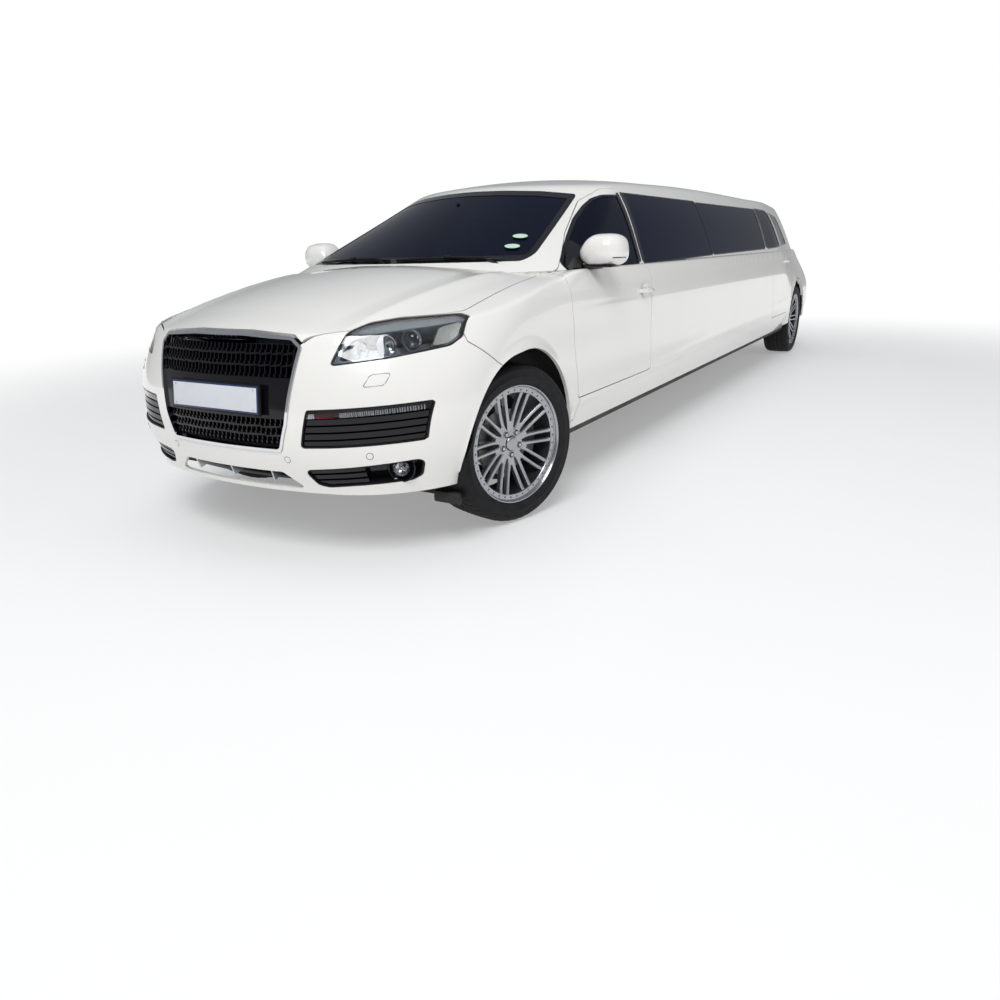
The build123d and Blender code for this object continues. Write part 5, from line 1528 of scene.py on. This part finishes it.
class LIMO_OT_mirrors(bpy.types.Operator):
    """Build the door mirrors with their glass and feet"""
    bl_idname = "limo.mirrors"
    bl_label = "Door mirrors"

    def execute(self, context):
        for side_name, side in SIDES:
            build = Build()
            steps = 48
            points, faces = [], []
            for u, y, z, half_y, half_z in MIRROR_RINGS:
                for k in range(steps):
                    a = 2 * pi * k / steps
                    c, s = cos(a), sin(a)
                    py = abs(c) ** MIRROR_POWER * (1 if c > 0 else -1) * half_y
                    pz = abs(s) ** MIRROR_POWER * (1 if s > 0 else -1) * half_z
                    if pz > 0:
                        py *= 1 - (0.08 if py > 0 else 0.36) * pz / half_z
                    points.append((front(u), y + py, z + pz))
            for i in range(len(MIRROR_RINGS) - 1):
                for k in range(steps):
                    j = (k + 1) % steps
                    faces.append((i * steps + k, i * steps + j, (i + 1) * steps + j, (i + 1) * steps + k))
            build.add(points, faces, 0)
            ring = [(front(0.921), p[1], p[2]) for p in points[:steps]]
            build.add(ring, [tuple(range(steps))], 2)
            rings = np.array(MIRROR_RINGS[6:2:-1])
            fall = np.minimum(-MIRROR_LINE / rings[:, 4], 0.999)
            wide = rings[:, 1] + rings[:, 3] * (1 - fall ** (2 / MIRROR_POWER)) ** (MIRROR_POWER / 2)
            line = [Vector((front(np.interp(y, wide, rings[:, 0])) + 0.0005, y, 1.234 + MIRROR_LINE))
                    for y in np.linspace(1.010, wide[-1], 14)]
            for a, b in zip(line, line[1:]):
                build.rod(a, b, 0.0030, 1, 6)
            build.box((front(0.900), 0.935, 1.146), (front(0.775), 1.060, 1.160), 1, None, 0.006)
            build.rod((front(0.835), 0.985, 1.160), (front(0.800), 0.880, 1.156), 0.021, 1, 14, 0.026)
            foot = [(0.606, 1.146), (0.920, 1.150), (0.900, 1.180), (0.835, 1.290), (0.735, 1.238)]
            patch = UPPER.clip(both(within("side", [(front(u), z) for u, z in foot], 0, 0.006), CABIN_SIDE))
            if side < 0:
                build.flipped()
                patch = patch.mirrored()
            build.piece(f"mirror_shell_{side_name}", f"door_front_{side_name}",
                        ("paint", "gloss", "looking_glass"), "paint", (f"mirror_{side_name}",), 40)
            panel(f"mirror_foot_{side_name}", patch, f"door_front_{side_name}", "gloss", 0.010, -0.006,
                  slot="black_plastic")
        return {"FINISHED"}


HANDLES = {"front": (front(1.531), 0.990), "rear": (rear(0.660), 1.040)}


class LIMO_OT_door_handles(bpy.types.Operator):
    """Build the pull handles with their scoops"""
    bl_idname = "limo.door_handles"
    bl_label = "Door handles"

    def execute(self, context):
        for place_name, (x, z) in HANDLES.items():
            for side_name, side in SIDES:
                build = Build()
                p, n = side_at(LOWER, x, z)
                place = Matrix((Vector((1, 0, 0)), Vector((0, -n.z, n.y)), n)).transposed().to_4x4()
                place.translation = p
                scoop = [(0.044, 0.0006), (0.040, 0.0010), (0.034, -0.0006), (0.024, -0.0032), (0.0, -0.0050)]
                points, faces = lathe(scoop, 36)
                build.add([(q[0] * 1.35, q[1] * 0.92, q[2] + 0.0035) for q in points], faces, 0, place)
                rings, spans, count = [], 14, 12
                for k in range(spans + 1):
                    t = k / spans * 2 - 1
                    out, half = 0.017 + 0.012 * (1 - t * t), 0.0135 * (1 - 0.35 * t ** 4)
                    for j in range(count):
                        a = 2 * pi * j / count
                        rings.append((0.088 * t, half * sin(a) - 0.004, out + 0.0085 * cos(a)))
                faces = [(i * count + j, i * count + (j + 1) % count, (i + 1) * count + (j + 1) % count,
                          (i + 1) * count + j) for i in range(spans) for j in range(count)]
                faces += [tuple(range(count)), tuple(range(spans * count, (spans + 1) * count))]
                build.add(rings, faces, 0, place)
                for bx in (-0.078, 0.078):
                    build.box((bx - 0.012, -0.014, -0.004), (bx + 0.012, 0.007, 0.022), 0, place, 0.003, 1)
                lock = [place @ Vector((-0.062, -0.004, height)) for height in (0.0, 0.0355)]
                build.rod(*lock, 0.006, 1, 16)
                if side < 0:
                    build.flipped()
                build.piece(f"door_handle_{place_name}_{side_name}", f"door_{place_name}_{side_name}",
                            ("paint", "satin"), "paint")
        return {"FINISHED"}


class LIMO_OT_wipers(bpy.types.Operator):
    """Build the cowl and the wipers"""
    bl_idname = "limo.wipers"
    bl_label = "Cowl and wipers"

    def execute(self, context):
        cowl = LOWER.clip(both(within("plan", COWL, 0, 0.01), above(1.05))).clip(BONNET_OUT)
        panel("cowl_cover", two_sided(cowl), "body", "dark", 0.006, 0.012, slot="black_plastic")
        keep = UPPER.points[:, 0] > front(1.3)
        glass_points, glass_normals = UPPER.points[keep], UPPER.normals[keep]

        def on_screen(y, z):
            gap = (glass_points[:, 1] - abs(y)) ** 2 + (glass_points[:, 2] - z) ** 2
            near = np.argsort(gap)[:5]
            weight = 1 / (gap[near] + 1e-7)
            p = (glass_points[near] * weight[:, None]).sum(axis=0) / weight.sum()
            n = (glass_normals[near] * weight[:, None]).sum(axis=0)
            n /= np.linalg.norm(n)
            flip = 1 if y >= 0 else -1
            return Vector((p[0], y, z)), Vector((n[0], n[1] * flip, n[2]))

        build = Build()
        for start_y, end_y in ((0.62, 0.06), (0.02, -0.56)):
            blade = []
            for t in np.linspace(0, 1, 13):
                y = start_y + (end_y - start_y) * t
                blade.append(on_screen(y, 1.201 + 0.008 * sin(pi * t) - 0.010 * (abs(y) / 0.7) ** 2))
            for (p, n), (q, m) in zip(blade, blade[1:]):
                build.rod(p + n * 0.009, q + m * 0.009, 0.0055, 0, 8)
                build.rod(p + n * 0.0035, q + m * 0.0035, 0.002, 0, 6)
            root = blade[0][0] + Vector((0.020, 0.020, -0.034))
            mid, n = blade[6]
            knee = blade[2][0] + blade[2][1] * 0.014
            build.rod(root, knee, 0.011, 0, 12, 0.008)
            build.rod(knee, mid + n * 0.013, 0.007, 0, 12, 0.005)
            build.rod(root - Vector((0, 0, 0.03)), root + Vector((0, 0, 0.004)), 0.015, 0, 18)
            build.box((-0.018, -0.009, -0.004), (0.018, 0.009, 0.010), 0, seat_on(mid + n * 0.012, n), 0.002, 1)
        build.piece("wipers", "body", ("dark",), "black_plastic")
        return {"FINISHED"}


COWL = [(front(0.13), -0.5), (front(0.13), 0.30), (front(0.17), 0.50), (front(0.33), 0.80), (front(0.60), 0.80),
        (front(0.60), -0.5)]


class LIMO_OT_tail_details(bpy.types.Operator):
    """Build the tail lamps, the tailgate grip and the exhaust tips"""
    bl_idname = "limo.tail_details"
    bl_label = "Tail details"

    def execute(self, context):
        behind = lambda p: p[:, 0] - rear(-0.55)
        both_forms = LOWER.clip(below(1.142)).joined(UPPER.clip(above(1.142)))
        lens = both_forms.clip(both(within("front", TAIL_LAMP, -0.002, 0.02), behind)).clip(
            within("side", TAILGATE, -SHUT, 0.02))
        obj = panel("tail_lamp_lenses", two_sided(lens), "tailgate", "ruby", 0.004, -0.001, True, "red_lamp")
        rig.replaces(obj, "tail_lamps")
        panel("tail_lamp_backs", two_sided(lens), "tailgate", "bowl", 0.004, 0.022, True, "lamp_housing")
        clear = lens.clip(both(above(1.005), below(1.040)))
        panel("tail_lamp_signal", two_sided(clear), "tailgate", "amber", 0.014, 0.006, True)
        x, y, z = LOWER.points.T
        gap = y ** 2 + (z - 0.985) ** 2 + 9 * (x > rear(-0.5))
        x = LOWER.points[np.argmin(gap)][0]
        build = Build().box((x - 0.022, -0.36, 0.972), (x + 0.02, 0.36, 1.000), round_by=0.006)
        build.piece("tailgate_grip", "tailgate", ("chrome",), "bright_trim")
        build = Build()
        for y in (-0.420, 0.420):
            place = Matrix.Translation((rear(-1.045), y, 0.262)) @ Matrix.Rotation(-pi / 2, 4, "Y")
            tip = [(0.0335, -0.30), (0.0345, -0.02), (0.0350, 0.0), (0.0340, 0.003), (0.0315, 0.002),
                   (0.0305, -0.02), (0.0305, -0.28), (0.0, -0.28)]
            build.add(*lathe(tip, 40), place=place)
        build.piece("exhaust_tips", "body", ("chrome",), "bright_trim")
        return {"FINISHED"}


# Cabin


def cushion(name, size, place, crown, seams=(), round_by=0.045):
    """Padded block with crowned faces, pulled in at its sewn seams; Z is its face."""
    length, width, height = size
    bm = bmesh.new()
    bmesh.ops.create_cube(bm, size=1)
    bmesh.ops.scale(bm, vec=size, verts=bm.verts)
    cuts = max(6, int(max(size) / 0.035))
    bmesh.ops.subdivide_edges(bm, edges=bm.edges, cuts=min(cuts, 15), use_grid_fill=True)
    for v in bm.verts:
        x, y, z = v.co.x / (length / 2), v.co.y / (width / 2), v.co.z / (height / 2)
        bulge = max(0, (1 - x ** 4) * (1 - y ** 4))
        if z > 0:
            v.co.z += crown * bulge * z
        corner = min(round_by, min(size) * 0.45)
        core = Vector((max(-length / 2 + corner, min(length / 2 - corner, v.co.x)),
                       max(-width / 2 + corner, min(width / 2 - corner, v.co.y)),
                       max(-height / 2 + corner, min(height / 2 - corner, v.co.z))))
        away = v.co - core
        if away.length > corner:
            v.co = core + away.normalized() * (corner + (away.length - corner) * (0.15 if z <= 0 else 0.6))
        for axis, at in seams:
            t = (v.co[axis] - at) / 0.016
            if v.co.z > 0:
                v.co.z -= 0.011 * np.exp(-t * t)
    mesh = bpy.data.meshes.new(name)
    bm.to_mesh(mesh)
    bm.free()
    mesh.materials.append(FINISH["leather"])
    mesh.polygons.foreach_set("use_smooth", [True] * len(mesh.polygons))
    obj = bpy.data.objects.new(name, mesh)
    bpy.context.scene.collection.objects.link(obj)
    obj.matrix_world = place
    smooth = obj.modifiers.new("Rounding", "SUBSURF")
    smooth.levels = smooth.render_levels = 1
    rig.ride(obj, "body")
    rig.padded(obj, 0.8)
    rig.slot(obj, "seat_leather")
    return obj


def facing(centre, degrees=0, axis="Y"):
    """Matrix for a pad at a centre, its X along the car, its face tilted from level."""
    return Matrix.Translation(centre) @ Matrix.Rotation(radians(degrees), 4, axis)


class LIMO_OT_seats(bpy.types.Operator):
    """Build the padded front seats, the rear seat and the lounge bench"""
    bl_idname = "limo.seats"
    bl_label = "Seats"

    def execute(self, context):
        crown = context.scene.limousine_sizes.seat_crown
        first = None
        for side_name, side in SIDES:
            y = 0.39 * side
            base = cushion(f"front_seat_base_{side_name}", (0.50, 0.50, 0.16),
                           facing((front(1.40), y, 0.545), 3), crown, ((1, -0.16), (1, 0.16), (0, -0.02)))
            cushion(f"front_seat_back_{side_name}", (0.60, 0.49, 0.12), facing((front(1.755), y, 0.900), 105),
                    crown, ((1, -0.15), (1, 0.15), (0, 0.10)))
            cushion(f"front_seat_headrest_{side_name}", (0.17, 0.26, 0.10),
                    facing((front(1.835), y, 1.270), 98), crown * 0.6, (), 0.04)
            first = first or base
        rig.replaces(first, "front_seats")
        cushion("rear_seat_base", (0.36, 1.50, 0.17), facing((rear(0.83), 0, 0.590), 3), crown,
                ((1, -0.25), (1, 0.25)))
        cushion("rear_seat_back", (0.50, 1.50, 0.12), facing((rear(0.545), 0, 0.940), 102), crown,
                ((1, -0.25), (1, 0.25), (0, 0.08)))
        count = 4
        low, high = rear(1.49), front(2.21)
        long = (high - low) / count
        seams = ((0, 0.0), (0, -long / 4), (0, long / 4))
        for i in range(count):
            x = low + long * (i + 0.5)
            cushion(f"lounge_base_{i + 1}", (long - 0.012, 0.33, 0.14), facing((x, 0.600, 0.545)), crown, seams,
                    0.035)
            cushion(f"lounge_back_{i + 1}", (long - 0.012, 0.30, 0.09), facing((x, 0.800, 0.775), 84, "X"),
                    crown, seams, 0.03)
        build = Build()
        build.box((low, 0.435, 0.373), (high, 0.845, 0.480), 0, None, 0.006)
        build.box((rear(0.50), -0.77, 0.373), (rear(1.00), 0.77, 0.505), 0, None, 0.006)
        for y in (0.39, -0.39):
            build.box((front(1.64), y - 0.23, 0.373), (front(1.20), y + 0.23, 0.470), 1, None, 0.01)
        build.piece("seat_plinths", "body", ("wood", "trim"), "cabinet", ("lounge_seats",))
        return {"FINISHED"}


class LIMO_OT_cabin(bpy.types.Operator):
    """Build the steering wheel, the inner mirror with its tag, the discs on the screen and the bar"""
    bl_idname = "limo.cabin"
    bl_label = "Cabin details"

    def execute(self, context):
        build = Build()
        tilt = radians(25)
        out = Vector((-cos(tilt), 0, sin(tilt)))
        place = seat_on(Vector((front(1.06), -0.380, 1.000)), out)
        ring, steps, count = 0.180, 72, 14
        points, faces = [], []
        for i in range(steps):
            a = 2 * pi * i / steps
            for j in range(count):
                b = 2 * pi * j / count
                r = ring + 0.0155 * cos(b)
                points.append((r * cos(a), r * sin(a), 0.0165 * sin(b)))
        for i in range(steps):
            for j in range(count):
                k, m = (i + 1) % steps, (j + 1) % count
                faces.append((i * count + j, k * count + j, k * count + m, i * count + m))
        build.add(points, faces, 0, place)
        build.add(*lathe([(0.0, 0.028), (0.040, 0.026), (0.062, 0.018), (0.072, 0.004), (0.072, -0.020),
                          (0, -0.022)], 36), 0, place)
        for a in (0, pi, -pi / 2 - 0.25, -pi / 2 + 0.25):
            spoke = Matrix.Rotation(a, 4, "Z")
            build.box((0.055, -0.016, -0.012), (0.178, 0.016, 0.006), 1, place @ spoke, 0.004, 1)
        build.rod(place @ Vector((0, 0, -0.23)), place @ Vector((0, 0, -0.018)), 0.030, 0, 24)
        build.piece("steering_wheel_detail", "body", ("leather", "satin"), "dark_trim", ("steering_wheel",), 30)
        build = Build()
        x, z = front(1.02), 1.435
        build.box((x - 0.022, -0.125, z - 0.034), (x + 0.006, 0.125, z + 0.034), 0, None, 0.013, 3)
        build.box((x - 0.024, -0.118, z - 0.028), (x - 0.021, 0.118, z + 0.028), 2, None, 0.001, 1)
        build.rod((x, 0, z + 0.02), (x + 0.055, 0, z + 0.075), 0.009, 1, 12)
        build.rod((x - 0.008, 0.01, z - 0.03), (x - 0.010, 0.012, z - 0.11), 0.0012, 1, 6)
        build.box((x - 0.016, -0.004, z - 0.185), (x - 0.004, 0.028, z - 0.105), 3, None, 0.005, 2)
        build.piece("inner_mirror", "body", ("pale", "dark", "looking_glass", "red"))
        build = Build()
        for y, z in ((0.592, 1.262), (0.575, 1.312)):
            gap = ((UPPER.points[:, 1] - y) ** 2 + (UPPER.points[:, 2] - z) ** 2
                   + 9 * (UPPER.points[:, 0] <= front(1.3)))
            i = int(np.argmin(gap))
            n = Vector(UPPER.normals[i])
            place = seat_on(Vector((UPPER.points[i][0], y, z)) + n * 0.0022, n)
            points, faces = lathe([(0.040, 0.0), (0.040, 0.0010), (0.034, 0.0012), (0.0, 0.0012)], 40)
            build.add([(q[0], q[1] * 0.62, q[2]) for q in points], faces, 0, place)
        build.piece("screen_discs", "body", ("disc",))
        build = Build()
        low, high = front(4.30), front(2.30)
        build.box((low, -0.850, 0.373), (high, -0.565, 0.860), 0, None, 0.012)
        build.box((low, -0.850, 0.860), (high, -0.560, 0.880), 1, None, 0.006)
        for i in range(5):
            x = low + 0.2 + i * 0.4
            build.box((x - 0.19, -0.5635, 0.40), (x + 0.19, -0.5605, 0.845), 0, None, 0.001, 1)
            build.rod((x - 0.05, -0.556, 0.80), (x + 0.05, -0.556, 0.80), 0.004, 2, 10)
        build.piece("bar_detail", "body", ("wood", "gloss", "satin"), "cabinet", ("bar_cabinet",))
        for name, key in CARRIED:
            node = NODES[name]
            node.data.materials.clear()
            node.data.materials.append(FINISH[key])
        return {"FINISHED"}


# CAD pieces that show as they are, with their finish
CARRIED = (("floor_pan", "under"), ("wheel_liners", "dark"), ("front_suspension", "cast"),
           ("rear_suspension", "cast"), ("engine", "cast"), ("driveline", "cast"), ("exhaust", "steel"),
           ("dashboard", "trim"), ("partition", "pale"), ("knuckle_left", "cast"), ("knuckle_right", "cast"))


# Studio


def floor_finish():
    """Pale floor that passes into the white of the backdrop away from the car."""
    material = finish("Pale floor", (0.86, 0.86, 0.86), 0.42, spread=0.01, scale=0.4, rough_spread=0.02)
    nodes, links = material.node_tree.nodes, material.node_tree.links
    place = nodes.new("ShaderNodeTexCoord")
    far = nodes.new("ShaderNodeVectorMath")
    far.operation = "LENGTH"
    links.new(place.outputs["Object"], far.inputs[0])
    fade = nodes.new("ShaderNodeMapRange")
    fade.interpolation_type = "SMOOTHSTEP"
    fade.inputs["From Min"].default_value, fade.inputs["From Max"].default_value = 3.0, 8.5
    fade.inputs["To Min"].default_value = 0.30
    links.new(far.outputs["Value"], fade.inputs["Value"])
    glow = nodes.new("ShaderNodeEmission")
    glow.inputs["Color"].default_value = (1, 1, 1, 1)
    mix = nodes.new("ShaderNodeMixShader")
    links.new(fade.outputs["Result"], mix.inputs["Fac"])
    out = nodes["Material Output"]
    links.new(out.inputs["Surface"].links[0].from_socket, mix.inputs[1])
    links.new(glow.outputs["Emission"], mix.inputs[2])
    links.new(mix.outputs["Shader"], out.inputs["Surface"])
    return material


class LIMO_OT_studio(bpy.types.Operator):
    """Build the floor, the lights, the sky and the camera"""
    bl_idname = "limo.studio"
    bl_label = "Studio"

    def execute(self, context):
        scene = context.scene
        mesh = bpy.data.meshes.new("floor")
        mesh.from_pydata([(-60, -60, -0.001), (60, -60, -0.001), (60, 60, -0.001), (-60, 60, -0.001)], [],
                         [(0, 1, 2, 3)])
        mesh.materials.append(floor_finish())
        floor = bpy.data.objects.new("studio_floor", mesh)
        scene.collection.objects.link(floor)
        lamps = []
        for name, size, energy, place, aim in (
                ("key", 5.0, 860, (9.5, 3.0, 9.0), (2.5, 0, 0.7)),
                ("side", 7.0, 260, (-1.0, 11.0, 6.0), (-1.0, 0, 0.8)),
                ("top", 9.0, 300, (0.0, -1.0, 9.0), (0, 0, 0))):
            light = bpy.data.lights.new("studio_" + name, "AREA")
            light.shape, light.size, light.energy = "SQUARE", size, energy
            lamp = bpy.data.objects.new("studio_" + name, light)
            lamp.location = place
            lamp.visible_glossy = name == "key"
            lamp.rotation_euler = (Vector(aim) - Vector(place)).to_track_quat("-Z", "Y").to_euler()
            scene.collection.objects.link(lamp)
            lamps.append(lamp)
        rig.stage(floor, *lamps)
        world = bpy.data.worlds.new("Studio sky")
        scene.world = world
        world.use_nodes = True
        nodes, links = world.node_tree.nodes, world.node_tree.links
        place = nodes.new("ShaderNodeTexCoord")
        parts = nodes.new("ShaderNodeSeparateXYZ")
        links.new(place.outputs["Generated"], parts.inputs["Vector"])
        sky = nodes.new("ShaderNodeValToRGB")
        stops = sky.color_ramp.elements
        stops[0].position, stops[0].color = 0.0, (0.97, 0.97, 0.97, 1)
        stops[1].position, stops[1].color = 1.0, (0.62, 0.66, 0.74, 1)
        middle = stops.new(0.30)
        middle.color = (0.78, 0.81, 0.86, 1)
        links.new(parts.outputs["Z"], sky.inputs["Fac"])
        studio, seen = nodes["Background"], nodes.new("ShaderNodeBackground")
        links.new(sky.outputs["Color"], studio.inputs["Color"])
        studio.inputs["Strength"].default_value = 0.36
        seen.inputs["Color"].default_value = (1, 1, 1, 1)
        path = nodes.new("ShaderNodeLightPath")
        mix = nodes.new("ShaderNodeMixShader")
        links.new(path.outputs["Is Camera Ray"], mix.inputs["Fac"])
        links.new(studio.outputs["Background"], mix.inputs[1])
        links.new(seen.outputs["Background"], mix.inputs[2])
        links.new(mix.outputs["Shader"], nodes["World Output"].inputs["Surface"])
        lens = bpy.data.cameras.new("photo_view")
        lens.lens, lens.sensor_width = scene.limousine_sizes.lens, 36
        lens.sensor_fit = "HORIZONTAL"
        camera = bpy.data.objects.new("photo_view", lens)
        ahead, right, up = (Vector(v) for v in CAMERA_AXES)
        camera.matrix_world = Matrix((right, up, -ahead)).transposed().to_4x4()
        camera.location = CAMERA_PLACE
        scene.collection.objects.link(camera)
        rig.stage(camera)
        scene.camera = camera
        scene.view_settings.view_transform = "Standard"
        return {"FINISHED"}


# Camera as fitted to the picture: place, then ahead, right and up
CAMERA_PLACE = (6.4601, 2.6540, 1.2571)
CAMERA_AXES = ((-0.81569, -0.48663, -0.31280), (-0.50477, 0.86286, -0.02606), (-0.28258, -0.13664, 0.94946))

STEPS = [value for name, value in list(globals().items()) if name.startswith("LIMO_OT_")]


class LIMO_PT_sidebar(bpy.types.Panel):
    """Sizes, colours and pieces of the limousine"""
    bl_idname = "LIMO_PT_sidebar"
    bl_label = "Limousine"
    bl_space_type = "VIEW_3D"
    bl_region_type = "UI"
    bl_category = "Limousine"

    def draw(self, context):
        layout = self.layout
        for group in (context.scene.limousine_sizes, context.scene.limousine_finish):
            for key in group.__annotations__:
                layout.prop(group, key)
        for step in STEPS:
            layout.operator(step.bl_idname)


CLASSES = [LimousineFinish, LimousineSizes, *STEPS, LIMO_PT_sidebar]


def register():
    for cls in CLASSES:
        bpy.utils.register_class(cls)
    bpy.types.Scene.limousine_sizes = PointerProperty(type=LimousineSizes)
    bpy.types.Scene.limousine_finish = PointerProperty(type=LimousineFinish)


def unregister():
    del bpy.types.Scene.limousine_finish
    del bpy.types.Scene.limousine_sizes
    for cls in reversed(CLASSES):
        bpy.utils.unregister_class(cls)


def main():
    register()
    make_finishes(bpy.context.scene.limousine_finish)
    for step in STEPS:
        group, name = step.bl_idname.split(".")
        getattr(getattr(bpy.ops, group), name)()
    with open("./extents.json", "w") as out:
        json.dump({"cad": [list(map(float, corner)) for corner in CAD_BOX],
                   "visual": [list(map(float, corner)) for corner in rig.bounds()]}, out)


if __name__ == "__main__":
    main()
